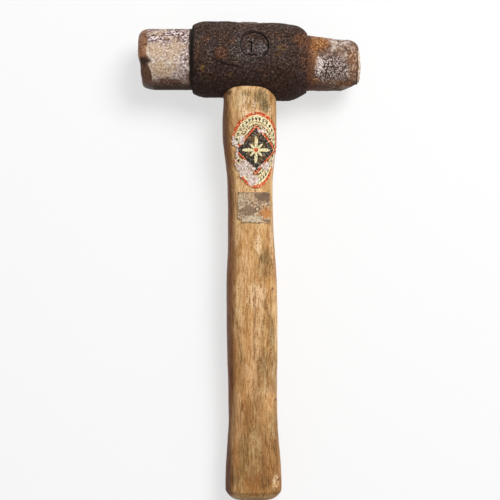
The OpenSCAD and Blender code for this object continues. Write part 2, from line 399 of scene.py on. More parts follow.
def makeFloor():
    bm = bmesh.new()
    bmesh.ops.create_grid(bm, x_segments=8, y_segments=8, size=4)
    floor = makePiece("floor", bm)
    underBarrel, underButt = studio["floorLow"]
    floor.location = (0, 0, underBarrel * mm)
    floor.rotation_euler.x = -math.atan((underButt - underBarrel) / -studio["buttAt"])
    startMaterial("paleFloor", 0.1)
    plain, patches, pale = (tone(*studio[name]) for name in (
        "floorTone", "floorPatches", "cameraFloorTone"))
    lit = colours(between(speckle(40, 4), 0.3, 0.7), plain, patches)
    direct = seenDirectly()
    shown = colours(studio["floorGlow"], pale, (0, 0, 0, 1))
    shader = building["shader"]
    feed(shader.inputs["Emission Color"], pale)
    feed(shader.inputs["Emission Strength"], times(direct, studio["floorGlow"]))
    floor.data.materials.append(finishMaterial(colours(direct, lit, shown), 0.9))


bpy.context.scene.view_settings.view_transform = "Standard"
makeCamera()
makeWorld()
makeLight()
makeFloor()
print("camera, light and floor are in place")


# Head casting: a rough iron barrel with a socket in each end, the eye and the sunk size mark

casting = {
    "cell": 0.36 * coarser,
    "socketDepth": 13.05,
    "copperSocket": 16.05,
    "rawhideSocket": 14.45,
    "mouthChamfer": 0.5,
    "lipLand": 0.2,
    "copperShoulder": 7,
    "copperLip": 1.5,
    "rawhideShoulder": 13,
    "rawhideLip": 0.5,
    "grain": 0.10,  # height of the sand grain
    "waviness": 0.14,
    "swelling": (0.1, 0.8),  # how much fuller the rawhide shoulder is at its bottom and top
    "pitSize": 1.5,
    "pitDepth": 0.28,
    "markAt": (2.6, 5.4),
    "markRadius": 7.25,
    "markDepth": 0.8,
    "fineRound": 0.8,  # how far beyond the size mark its finer cells go
    "numeralHeight": 8.5,
    "numeralStroke": 1.0,
    "numeralFoot": 3.6,
    "numeralAt": (1.8, 4.8),
    "numeralReach": (2.8, 5),  # half width and half length of the place round the numeral
    "swirlReach": 7.5,
    "swirlStep": 1.7,
    "eyeW": 22,
    "eyeT": 18,
    "eyeFlare": 0.84,  # how much wider the eye is at its top, all round
    "eyeReach": 21,
    "seam": [(-18.6, -2.2), (-13.2, -4.6), (-7.1, -5.6), (3.8, -9.3)],
    "seamWidth": 0.8,
    "seamDepth": 0.6,
    "belly": 0.8,  # how much fuller the barrel is under the eye, beside the handle
    # knocks: x, y, radius, depth; stains: x, y, half width, half length, strength
    "knocks": [(12.5, 14.6, 0.9, 0.35), (22.7, 5.0, 0.8, 0.3), (-24.0, 9.5, 1.4, 0.3),
               (17.0, 2.0, 0.7, 0.3), (-9.0, -8.0, 1.0, 0.25), (24.0, -6.0, 1.2, 0.2)],
    "rust": [(26.6, 8.7, 3.6, 5.0, 1.0), (-22.2, 8.8, 2.2, 2.2, 0.75),
             (-14.6, 0.8, 3.6, 3.8, 0.7), (-26.5, 2, 1.6, 6, 0.4), (27.5, -1, 2.2, 8, 0.45),
             (13, -14, 6, 3, 0.35)],
    "rustShift": (31, 7, 3),  # moves the rust's noise away from the other noises
    "ochre": [(-24.3, -6.2, 1.3, 2.6, 1.0), (-9.5, -9.5, 1.2, 1.2, 0.5),
              (16.6, 3.6, 3.0, 1.8, 0.65), (14.5, 0.5, 2.2, 1.2, 0.5)],
    "grey": [(5.8, 3.4, 3.6, 4.5, 1.0), (-6.5, 2.5, 4.0, 5.5, 0.45), (-20, 3, 3, 3, 0.3),
             (-0.8, 3.2, 1.6, 4, 0.5)],
    "tones": {  # for each ramp over the fine noise: place on it, red, green and blue
        "brown": [(0.37, 12, 5, 3), (0.44, 40, 25, 19), (0.5, 65, 46, 38), (0.57, 90, 69, 59),
                  (0.66, 152, 128, 112)],
        "purple": [(0.35, 18, 11, 10), (0.48, 60, 44, 41), (0.58, 86, 69, 65),
                   (0.67, 144, 126, 118)],
        "greyAndHighlight": [(0.37, 24, 20, 19), (0.47, 70, 62, 59), (0.57, 112, 103, 98),
                     (0.66, 182, 172, 164)],
        "rusty": [(0.37, 34, 17, 10), (0.47, 80, 48, 33), (0.56, 122, 80, 54),
                  (0.66, 178, 132, 96)],
        "ochre": [(0.38, 50, 34, 20), (0.5, 104, 76, 44), (0.62, 164, 130, 84)],
    },
}


def barrelEnd(barrelR, halfLen, length, lip, socketR):
    # from the widest place of the barrel out to the flat of the lip
    endR = socketR + casting["mouthChamfer"] + casting["lipLand"] + lip
    drop = barrelR - endR
    radius = (length ** 2 + drop ** 2) / (2 * drop)
    turn = math.degrees(math.asin(length / radius))
    start = halfLen - lip * (1 - math.sin(math.radians(turn))) - length
    shoulder = arcPoints(start, barrelR - radius, radius, 0, turn, 12)
    reach = radius - lip
    lipX = start + reach * math.sin(math.radians(turn))
    lipR = barrelR - radius + reach * math.cos(math.radians(turn))
    return shoulder[:-1] + arcPoints(lipX, lipR, lip, turn, 90, 6)


def castingProfile(barrelR, halfLen):
    chamfer, depth = casting["mouthChamfer"], casting["socketDepth"]
    left = barrelEnd(barrelR, halfLen, casting["copperShoulder"], casting["copperLip"],
                     casting["copperSocket"])
    right = barrelEnd(barrelR, halfLen, casting["rawhideShoulder"], casting["rawhideLip"],
                      casting["rawhideSocket"])

    def socket(r):
        return [(halfLen, r + chamfer), (halfLen - chamfer, r), (halfLen - depth, r),
                (halfLen - depth, r / 2), (halfLen - depth, 0)]

    points = [(-x, r) for x, r in reversed(left + socket(casting["copperSocket"]))]
    fineFrom = 4  # the first point outside the socket
    fineTo = len(points) + len(right)
    return points + right + socket(casting["rawhideSocket"]), fineFrom, fineTo


def intoMark(x, y):
    # distance from the walls of the sunk size mark, below 0 outside it and on its numeral
    markX, markY = casting["markAt"]
    into = casting["markRadius"] - math.hypot(x - markX, y - markY)
    if into < -2:
        return into
    stemX, middleY = casting["numeralAt"]
    half, stroke = casting["numeralHeight"] / 2, casting["numeralStroke"]
    foot = casting["numeralFoot"] / 2
    low, high = middleY - half, middleY + half
    return min(
        into,
        offLine(x, y, (stemX, low), (stemX, high - 0.4)) - stroke * 0.5,
        offLine(x, y, (stemX - foot, low + 0.3), (stemX + foot, low + 0.3)) - stroke * 0.36,
        offLine(x, y, (stemX, high - 0.6), (stemX - stroke * 1.6, high - 1.7)) - stroke * 0.4)


def readMark(p):
    # how far a point is into the size mark, whether it is by the numeral, and how far it lies
    # towards the mark's upper right
    x, y = p.x, p.y - droop(p.x)
    markX, markY = casting["markAt"]
    middleX, middleY = casting["numeralAt"]
    reachX, reachY = casting["numeralReach"]
    byNumeral = abs(x - middleX) < reachX and abs(y - middleY) < reachY
    return intoMark(x, y), byNumeral, (x - markX + 0.8 * (y - markY)) / casting["markRadius"]


def shadowOnMarkWall(p):
    # painted shadow: 1 on the walls of the size mark that are turned from the light, which are its
    # right one and the numeral's left one
    if p.z < 0:
        return 0
    into, byNumeral, turned = readMark(p)
    if byNumeral:
        beside = intoMark(p.x + 0.45, p.y - droop(p.x) + 0.25)
        return (1 - ease(0.0, 0.4, beside)) * ease(-0.35, -0.05, into)
    turned += 0.5 * noise.noise(p / 2)
    edge = 0.5 + 0.25 * noise.noise(p / 1.5)
    wall = (1 - ease(edge * 0.6, edge * 1.7, into)) * ease(-0.6, -0.25, into)
    return wall * mix(0.75, 1, ease(-0.5, 0.5, turned))


def litMarkHighlight(p):
    # painted highlight: 1 on the numeral's face and on the lower left wall of the size mark, which
    # are turned to the light
    if p.z < 0:
        return 0
    into, byNumeral, turned = readMark(p)
    if byNumeral:
        return ease(0.15, -0.2, into)
    return ease(-0.9, -0.5, into) * ease(0.5, 0.1, into) * ease(-0.3, -0.9, turned)


def swirl(p):
    # 1 on the faint curved marks that run round the size mark on its left and below it
    markX, markY = casting["markAt"]
    reach = casting["swirlReach"]
    away = math.hypot(p.x - markX, p.y - markY) - casting["markRadius"]
    if p.z < 0 or not 0.6 < away < reach or p.x > markX + 5:
        return 0
    wave = math.cos(2 * math.pi * away / casting["swirlStep"] + 2.5 * noise.noise(p / 2.5))
    return ease(0.1, 0.9, wave) * ease(reach, 2, away) * ease(markX + 5, markX - 2, p.x)


def pits(p, size, seed=0):
    # scattered round pits, 1 at their bottoms
    distances, points = noise.voronoi(p / size + Vector((seed, 0, 0)))
    if noise.cell(points[0] * 7.3) < 0.35:
        return 0
    return 1 - ease(0.05, 0.42, distances[0])


def alongSeam(p):
    # 1 in the crack that runs down from the left, fading to the right
    seam = casting["seam"]
    if p.z < 0 or not seam[0][0] - 1 < p.x < seam[-1][0] + 1:
        return 0
    away = min(offLine(p.x, p.y, a, b) for a, b in zip(seam, seam[1:]))
    away += 0.25 * noise.noise(p / 0.8)
    gaping = 0.3 + 0.7 * ease(-0.6, 0.1, noise.noise(p / 3.1))
    gaping = max(gaping, ease(-9, -14, p.x)) * (0.5 + 0.5 * ease(4, -10, p.x))
    return gaping * (1 - ease(0, casting["seamWidth"], away))


def castingHeight(p):
    height = casting["waviness"] * (noise.noise(p / 7) - 0.6)
    lower, upper = casting["swelling"]
    height += ease(20, 26, p.x) * ease(31, 27, p.x) * mix(lower, upper, ease(-10, 10, p.y))
    height += casting["belly"] * ease(6, 14, p.x) * ease(28, 20, p.x) * ease(-10, -17, p.y)
    height += casting["grain"] * (waves(p, 1.3, 4) - 0.4)
    height -= casting["pitDepth"] * pits(p, casting["pitSize"]) * ease(-0.1, 0.5, waves(p, 9))
    if p.z > 0:
        height -= casting["markDepth"] * ease(-0.15, 0.25, intoMark(p.x, p.y))
        height -= casting["seamDepth"] * alongSeam(Vector((p.x, p.y + droop(p.x), p.z)))
        for x, y, size, depth in casting["knocks"]:
            away = math.hypot(p.x - x, p.y - y) / size
            height -= depth * (1 - ease(0.2, 1, away))
    return height


def castingCavity(p):
    # dirt in the pits and in the grain's hollows
    return ease(0.0, -0.5, waves(p, 1.3, 4)) + pits(p, casting["pitSize"])


def eyeCutter():
    # an oval through the barrel, straight below its axis and flared above it
    bm = bmesh.new()
    reach, radius = casting["eyeReach"], casting["eyeT"] / 2
    offset = (casting["eyeW"] - casting["eyeT"]) / 2
    bmesh.ops.create_circle(bm, segments=96, radius=radius)
    for v in bm.verts:
        v.co = Vector((v.co.x + math.copysign(offset, v.co.x), -reach, v.co.y))
    bottom = bm.edges[:]
    ring = bottom
    for y, grow in ((0, 0), (reach, casting["eyeFlare"])):
        made = bmesh.ops.extrude_edge_only(bm, edges=ring)["geom"]
        ring = [g for g in made if isinstance(g, bmesh.types.BMEdge)]
        for v in [g for g in made if isinstance(g, bmesh.types.BMVert)]:
            side = Vector((v.co.x - math.copysign(offset, v.co.x), 0, v.co.z))
            v.co += side.normalized() * grow
            v.co.y = y
    bmesh.ops.edgeloop_fill(bm, edges=bottom)
    bmesh.ops.edgeloop_fill(bm, edges=ring)
    bmesh.ops.recalc_face_normals(bm, faces=bm.faces)
    return bm


def ironMaterial():
    startMaterial("roughCastIron", 0.12)
    fine = speckle(0.62, 4, 0.85)
    broad = speckle(5, 4)
    patches = speckle(3, 3, 0.6)
    ramps = {name: toneRamp(fine, rows) for name, rows in casting["tones"].items()}
    rust = times(mask("rust"), between(broad, 0.3, 0.55, 0.5, 1))
    colour = over(
        ramps["brown"],
        (between(broad, 0.42, 0.6, 0, 0.8), ramps["purple"]),
        (between(patches, 0.48, 0.38, 0, 0.3), tone(38, 23, 16)),
        # grey patches and marks, with a painted highlight on the size mark's lit wall and on the
        # numeral
        (mask("grey"), ramps["greyAndHighlight"]),
        (rust, ramps["rusty"]),
        (mask("ochre"), ramps["ochre"]),
        # dark pits, hollows and crack, with painted shade on the size mark's walls and at the lip
        # by the copper
        (times(mask("hollowsAndShade"), 0.92), tone(14, 8, 6)),
        # painted shade on the barrel's side turned from the light
        (times(mask("lowSideShade"), 0.68), tone(36, 18, 9)))
    return finishMaterial(colour, between(fine, 0.3, 0.7, 0.9, 0.65), (fine, 0.25))


def buildCasting():
    high = boxInMm("head_casting")[1]
    barrelR, halfLen = high.z, high.x
    points, fineFrom, fineTo = castingProfile(barrelR, halfLen)
    bm = spinProfile(points, casting["cell"], fineFrom, fineTo)
    markX, markY = casting["markAt"]
    around = casting["markRadius"] + casting["fineRound"]

    def roundMark(p):
        return p.z > 0 and math.hypot(p.x - markX, p.y - markY) < around

    refine(bm, roundMark)
    shapeSkin(bm, castingHeight)
    bm = cutAway(bm, [eyeCutter()])
    leanHead(bm)

    def lip(p):
        return ease(28.8, 29.5, p.x) * (0.8 + 0.5 * noise.noise(p / 3))

    def anyRust(p):
        clear = ease(8, 11, math.hypot(p.x - markX, p.y - markY)) if p.z > 0 else 1
        return 0.55 * clear * ease(0.3, 0.8, waves(p + Vector(casting["rustShift"]), 6))

    # dark in the pits, the grain's hollows and the crack, with painted shadow on the size mark's
    # walls and painted shade on the lip where the copper goes in
    def shadeAndHollows(p):
        # painted shade in the gap at the barrel's lip by the copper
        root = ease(-28.3, -29.2, p.x + 0.4 * noise.noise(p / 3))
        return max(0.5 * castingCavity(p), shadowOnMarkWall(p), root, alongSeam(p))

    paint(bm, {
        "rust": lambda p: max(stains(p, casting["rust"]), lip(p), anyRust(p)),
        "ochre": lambda p: stains(p, casting["ochre"]),
        # grey patches and curved marks, with a painted highlight on the size mark's lit wall and
        # on the numeral
        "grey": lambda p: max(stains(p, casting["grey"]), 0.7 * swirl(p), 0.9 * litMarkHighlight(p),
                              0.25 * ease(0.2, 0.6, waves(p, 11))),
        "hollowsAndShade": shadeAndHollows,
        # painted shade: darker towards −Y, the side turned from the light, with some random change
        "lowSideShade": lambda p: ease(2, -17, p.y) * 0.9 + 0.3 * noise.noise(p / 5),
    })
    addToHammer("ironBarrel", bm, "head_casting", ironMaterial())


buildCasting()


# Copper face: a solid plug under a pale crust, its striking edge bare and worn round

copper = {
    "cell": 0.36 * coarser,
    "chamfer": 0.5,
    "edgeRound": 3.5,
    "edgeWear": (0.5, 1.7),  # extra wear of the striking edge at its top and at its bottom
    "edgeReach": 3.6,
    "faceWear": 1.2,  # how far the lower half of the striking face is worn back
    "crustThick": 0.16,
    "crustFrom": (-53.0, -50.0),  # where the crust starts, at the top and at the bottom
    "notch": (-54.5, -2.4, 4.2, 2.3, 1.0),
    # dents of the striking face: y, z, radius, depth
    "dents": [(6, 2, 3, 0.25), (-3, -6, 4, 0.3), (1, 9, 2.2, 0.3), (-9, 0, 3, 0.35)],
    "specks": [(-49.5, 11.8, 7, 6, 1.0), (-38.5, 11.8, 9, 6, 1.0), (-43, 7.5, 5, 3, 0.7),
               (-33.5, 1, 3.4, 13, 0.75), (-37, -9, 6, 4, 0.5), (-47, -12, 5, 2, 0.5)],
    "tan": [(-45, -6, 8, 5, 1.0), (-47.5, 3, 5, 5.5, 0.9), (-41, 0, 3, 4, 0.6),
            (-51, -9.5, 2, 3, 0.6)],
    "brown": [(-42, -13.5, 11, 3.2, 1.0), (-31.5, -11, 2.5, 4.5, 0.8)],
    "tones": {
        "smooth": [(0.36, 84, 58, 50), (0.42, 160, 130, 112), (0.5, 210, 185, 166),
                   (0.58, 238, 225, 214), (0.66, 254, 249, 244)],
        "sandy": [(0.36, 98, 70, 52), (0.43, 172, 140, 108), (0.52, 202, 173, 142),
                  (0.64, 242, 226, 202)],
        "earthAndShade": [(0.38, 36, 21, 16), (0.47, 80, 52, 40), (0.54, 126, 92, 76),
                  (0.64, 200, 168, 150)],
        "patina": [(0.32, 78, 46, 32), (0.46, 130, 86, 62), (0.56, 156, 112, 84),
                   (0.7, 206, 166, 138)],
        "dull": [(0.34, 40, 26, 19), (0.5, 78, 52, 38), (0.66, 118, 84, 62)],
    },
    "speckledTones": [(0.42, 36, 14, 24), (0.48, 98, 60, 66), (0.52, 172, 138, 134),
                      (0.56, 230, 210, 205), (0.62, 255, 253, 252)],
}


def crustEdge(p):
    upper, lower = copper["crustFrom"]
    return mix(upper, lower, ease(3, -15, p.y)) + 0.9 * waves(p, 2.5)


def crusted(p):
    return ease(-0.25, 0.35, p.x - crustEdge(p))


def notched(p):
    # 1 in the dark notch in the edge of the striking face
    return stain(p, copper["notch"]) * ease(10.5, 13.5, math.hypot(p.y, p.z))


def wornHalf(p):
    # 1 on the lower half of the striking face, which is worn back along a ragged line
    return ease(1.5, -3.5, p.y + 1.6 * waves(Vector((0, p.y, p.z)), 5))


def copperHeight(p):
    low, high = boxOfCopper
    radius = math.hypot(p.y, p.z)
    cornerX, cornerR = low.x + 1, high.z - 1
    away = math.hypot(p.x - cornerX, radius - cornerR) / copper["edgeReach"]
    upper, lower = copper["edgeWear"]
    wear = mix(upper, lower, ease(10, -14, p.y)) + 0.35 * noise.noise(p / 4)
    height = -max(0, wear) * math.exp(-away * away)
    if p.x < low.x + 2.5:
        height -= copper["faceWear"] * wornHalf(p) * ease(15, 12, radius)
        for y, z, size, depth in copper["dents"]:
            height -= depth * (1 - ease(0.1, 1, math.hypot(p.y - y, p.z - z) / size))
        height += 0.12 * (waves(p, 2.2, 3) - 0.4)
    height += 0.05 * (waves(p, 1.4, 3) - 0.5)
    crust = crusted(p)
    if crust > 0:
        thick = 0.7 + 0.9 * waves(p, 0.8, 4)
        height += copper["crustThick"] * crust * (clamp(thick, 0, 1.2) - 1.2)
        height -= 0.22 * crust * pits(p, 1.1, 5) * ease(-0.2, 0.4, waves(p, 5))
    else:
        height -= copper["crustThick"]
    height -= 0.5 * notched(p)
    return height


def copperMaterial():
    startMaterial("crustedCopper", 0.2)
    fine = speckle(0.6, 5, 0.85)
    mid = speckle(2.2, 4, 0.6)
    blotch = speckle(0.72, 3, 0.75)
    ramps = {name: toneRamp(fine, rows) for name, rows in copper["tones"].items()}
    # the crust is darker and rougher where it is speckled
    crust = over(
        ramps["smooth"],
        (mask("speck"), toneRamp(blotch, copper["speckledTones"])),
        (times(mask("tan"), between(mid, 0.3, 0.55)), ramps["sandy"]),
        # brown stains, and painted shade along the lower edge and by the barrel
        (mask("brown"), ramps["earthAndShade"]))
    bareMetal = colours(mask("tarnish"), ramps["patina"], ramps["dull"])
    bare = mask("bare")
    # the dark notch, and painted shade at the lower edge and in the gap at the barrel
    colour = over(crust, (bare, bareMetal), (mask("black"), tone(38, 26, 20)))
    return finishMaterial(colour, between(bare, 0, 1, 0.82, 0.42), (fine, 0.2),
                          metal=between(bare, 0, 1, 0, 0.55))


def buildCopper():
    low, high = boxOfCopper
    radius, chamfer, corner = high.z, copper["chamfer"], copper["edgeRound"]
    points = [(high.x, 0), (high.x, radius - chamfer), (high.x - chamfer, radius), (-30, radius)]
    edge = arcPoints(low.x + corner, radius - corner, corner, 0, -90, 6)
    points += edge + [(low.x, 0)]
    inSocket = 3  # points that no one sees
    bm = spinProfile(points, copper["cell"], inSocket, len(points) - 1)
    shapeSkin(bm, copperHeight)
    leanHead(bm)
    paint(bm, {
        "bare": lambda p: 1 - crusted(p),
        "speck": lambda p: max(stains(p, copper["specks"]),
                               0.75 * ease(0.1, 0.5, waves(p, 6)) * ease(2, -4, p.z)),
        "tan": lambda p: max(stains(p, copper["tan"]), 0.7 * ease(0, 0.5, waves(p, 9))),
        # brown stains, with painted shade along the lower edge and beside the barrel's lip
        "brown": lambda p: max(stains(p, copper["brown"]), ease(-11, -14.5, p.y) * 0.9,
                               0.6 * ease(-31.5, -30.5, p.x)),
        "tarnish": lambda p: max(ease(1, -3, p.y) * ease(-57.6, -57, p.x), 0.8 * wornHalf(p),
                                 0.7 * ease(0.1, 0.4, waves(p, 4))) * 0.9,
        # the dark notch, with painted shade along the lower edge and in the gap where the copper
        # goes into the barrel
        "black": lambda p: max(0.8 * notched(p),
                               ease(-12.8, -15.2, p.y + noise.noise(p)) * 0.85,
                               ease(-31.6, -30.9, p.x + 0.5 * noise.noise(p / 2)) * 0.95),
    })
    addToHammer("copperPlug", bm, "copper_face", copperMaterial())


boxOfCopper = boxInMm("copper_face")
buildCopper()


# Rawhide face: a rolled strip of hide, frayed, rusty beside the iron and scaly in its middle

rawhide = {
    "cell": 0.36 * coarser,
    "chamfer": 0.5,
    "endR": 13,
    "edgeRound": 7.5,
    "turn": 2.2,  # thickness of the hide
    "lineWidth": 0.34,
    "lineDepth": 1.0,
    "endWear": (0.5, -1.4),  # how far the striking edge swells at its top and wears below
    "rimIn": 1.9,  # how far from the flat end the pale rim starts: worn fibres with a painted highlight
    "lineReach": 1.3,  # how far the lines between the turns come round from the flat end
    "flapAt": 215,  # degrees round from the top, where the roll's free edge lies
    "flapStep": 0.4,
    "scaleSize": 1.15,
    "scaleHeight": 0.3,
    "rust": [(35.5, 7.5, 6.5, 6.0, 1.0), (33, 1, 2.5, 5, 0.8), (32.5, -6, 1.4, 9, 0.5),
             (49, -13.5, 6, 1.6, 0.9), (41, 10.5, 4, 2, 0.5), (53.5, -2, 2.6, 10, 0.5),
             (44, -13, 8, 1.5, 0.4)],
    "white": [(46.5, 8.8, 6.5, 2.6, 1.0), (36.3, -4.5, 2.8, 5, 1.0), (43.5, 4.5, 2.2, 2.2, 0.5),
              (40, 11, 3, 1, 0.8), (53, 5, 1.2, 3, 0.6)],
    "frayed": [(50.5, -15.0, 5, 1.0, 0.7)],  # where pale fibres stand off below the end
    "scale": [(41.5, -5.8, 9.5, 7.4, 1.0), (47, -7, 5.5, 6, 0.9)],
    "scaleShift": (9, 9, 9),  # moves the noise of the scaly places away from the other noises
    "scaleCells": 1350,
    "tones": {
        "hide": [(0.37, 54, 34, 25), (0.45, 96, 68, 52), (0.51, 122, 91, 71),
                 (0.58, 164, 132, 108), (0.64, 240, 227, 214)],
        "chalk": [(0.34, 96, 70, 56), (0.42, 170, 142, 122), (0.5, 222, 204, 192),
                  (0.62, 246, 238, 232)],
        "rusty": [(0.38, 50, 25, 11), (0.46, 116, 68, 31), (0.55, 166, 107, 54),
                  (0.63, 232, 188, 134)],
        "deep": [(0.38, 44, 23, 14), (0.6, 104, 60, 38)],
        "fibreAndHighlight": [(0.36, 152, 112, 84), (0.45, 214, 186, 160), (0.54, 238, 219, 198),
                  (0.66, 250, 240, 226)],
    },
    "scaleTones": [(0.07, 34, 23, 23), (0.17, 80, 60, 54), (0.27, 140, 117, 107),
                   (0.37, 202, 185, 177), (0.46, 244, 237, 234)],
}


def rollPhase(p):
    # distance in mm from the line between two turns of the roll
    radius, angle = math.hypot(p.y, p.z), math.atan2(p.z, p.y) / (2 * math.pi)
    phase = radius / rawhide["turn"] - angle - 0.6 + 0.07 * noise.noise(p / 3)
    return abs(phase - round(phase)) * rawhide["turn"]


def rawhideHeight(p):
    high = boxOfRawhide[1]
    height = 0.16 * waves(p, 5) + 0.12 * waves(p, 0.9, 3)
    height += 0.15 * ease(high.x - 1, high.x - 3, p.x)
    # the end is worn most at its lower corner
    upper, lower = rawhide["endWear"]
    corner = ease(high.x - 11, high.x - 5, p.x) * ease(high.x - 0.5, high.x - 2.5, p.x)
    height += corner * mix(lower, upper, ease(-7, 8, p.y))
    distances = noise.voronoi(p / rawhide["scaleSize"])[0]
    flake = ease(0.05, 0.3, distances[1] - distances[0])
    height -= rawhide["scaleHeight"] * (1 - flake) * (0.25 + 0.75 * ease(-0.3, 0.3, waves(p, 7)))
    reach = rawhide["lineReach"]
    atEnd = ease(high.x - reach, high.x - reach / 2, p.x)
    if atEnd > 0:
        lineEdge = rawhide["lineWidth"] * (1 + 0.8 * noise.noise(p / 1.3))
        line = 1 - ease(lineEdge * 0.6, lineEdge * 1.5, rollPhase(p))
        height -= rawhide["lineDepth"] * atEnd * line
        height += 0.35 * atEnd * (noise.noise(p / 1.8) - 0.5)
    around = (math.degrees(math.atan2(p.y, p.z)) - rawhide["flapAt"]) % 360
    along = 0.8 * noise.noise(Vector((p.x / 5, 0, 0)))
    past = around - 2 * along
    if p.x < high.x - 3 and 0 < past < 40:
        height -= rawhide["flapStep"] * ease(0, 2, past) * ease(40, 6, past)
    return height


def rawhideMaterial():
    startMaterial("rolledHide", 0.3)
    fine = speckle(0.7, 5, 0.8)
    mid = speckle(1.5, 4, 0.65, warp=0.6)
    patch = speckle(4.5, 3, 0.55)
    ramps = {name: toneRamp(fine, rows) for name, rows in rawhide["tones"].items()}
    chalky = times(mask("white"), between(mid, 0.38, 0.5))
    worn = times(between(patch, 0.46, 0.37, 0, 0.5), between(fine, 0.45, 0.58, 0.1, 1))
    # small pale scales parted by dark cracks
    cell = wire("ShaderNodeTexVoronoi", {
        "Vector": building["place"], "Scale": rawhide["scaleCells"]})
    cell = minus(fine, times(cell, 0.55))
    cell = plus(cell, between(mask("white"), 0.2, 1, 0, 0.14))
    colour = over(
        ramps["hide"],
        (chalky, ramps["chalk"]),
        (between(patch, 0.48, 0.58), tone(178, 170, 166), "MULTIPLY"),
        (worn, tone(236, 218, 202)),
        (mask("scale"), toneRamp(cell, rawhide["scaleTones"])),
        (times(mask("rust"), between(mid, 0.3, 0.48)), ramps["rusty"]),
        (mask("base"), ramps["deep"]),
        # pale worn fibres, with a painted highlight on the end's edge
        (mask("rim"), ramps["fibreAndHighlight"]),
        (mask("lines"), tone(70, 44, 31)),
        # painted shade on the side turned from the light
        (mask("under"), tone(68, 46, 38)))
    return finishMaterial(colour, between(fine, 0.3, 0.7, 0.6, 0.9), (fine, 0.16))


def buildRawhide():
    low, high = boxOfRawhide
    radius, chamfer, corner = high.z, rawhide["chamfer"], rawhide["edgeRound"]
    points = [(low.x, 0), (low.x, radius - chamfer), (low.x + chamfer, radius), (30, radius)]
    points += arcPoints(high.x - corner, rawhide["endR"] - corner, corner, 0, 90, 10)
    points.append((high.x, 0))
    inSocket = 3
    bm = spinProfile(points, rawhide["cell"], inSocket, len(points) - 1)
    refine(bm, lambda p: p.x > high.x - 2.5)
    shapeSkin(bm, rawhideHeight)
    leanHead(bm)

    def onRoll(p):
        # where a point was before the head was leaned
        return Vector((p.x, p.y - droop(p.x), p.z))

    def endLines(p):
        # 1 in the lines between the turns at the flat end, and less so along the worn rim
        reach = rawhide["lineReach"]
        onFlat = ease(high.x - reach, high.x - reach / 2, p.x)
        onFlat *= 1 - ease(0.15, 0.5, rollPhase(onRoll(p)))
        edge = 1 - ease(0.2, 0.55, abs(pastRim(p) + 0.2))
        return max(onFlat, 0.8 * edge)

    def pastRim(p):
        # how far a point lies beyond the worn edge of the hide
        past = p.x - (high.x - rawhide["rimIn"])
        return past + 0.5 * noise.noise(p / 2.5) - 0.8 * ease(2, 8, p.y)

    shift = Vector(rawhide["scaleShift"])
    paint(bm, {
        "rust": lambda p: max(stains(p, rawhide["rust"]), ease(34, 31, p.x) * 0.8,
                              0.9 * ease(40, 31, p.x) * ease(-0.1, 0.4, waves(p, 5))),
        "white": lambda p: max(0.05, stains(p, rawhide["white"]),
                               0.9 * ease(0.05, 0.5, waves(p, 5)) * ease(3, -3, p.z)),
        "scale": lambda p: max(stains(p, rawhide["scale"]),
                               ease(0.1, 0.4, waves(p + shift, 6)) * ease(3, -3, p.z)),
        "base": lambda p: ease(mix(35, 32.6, ease(-3, 4, p.y)), 31,
                               p.x + 0.6 * noise.noise(p / 2)) * 0.85,
        # pale worn fibres past the rim, with a painted highlight on the end's edge
        "rim": lambda p: max(ease(0, 0.5, pastRim(p)) * 0.9, stains(p, rawhide["frayed"])),
        "lines": lambda p: endLines(p) * 0.85,
        # painted shade along the lower (−Y) side, which is turned from the light
        "under": lambda p: ease(-11, -15, p.y) * 0.65,
    })
    addToHammer("rawhideRoll", bm, "rawhide_face", rawhideMaterial())


boxOfRawhide = boxInMm("rawhide_face")
buildRawhide()


# Handle: straight-grained ash with its tenon through the eye

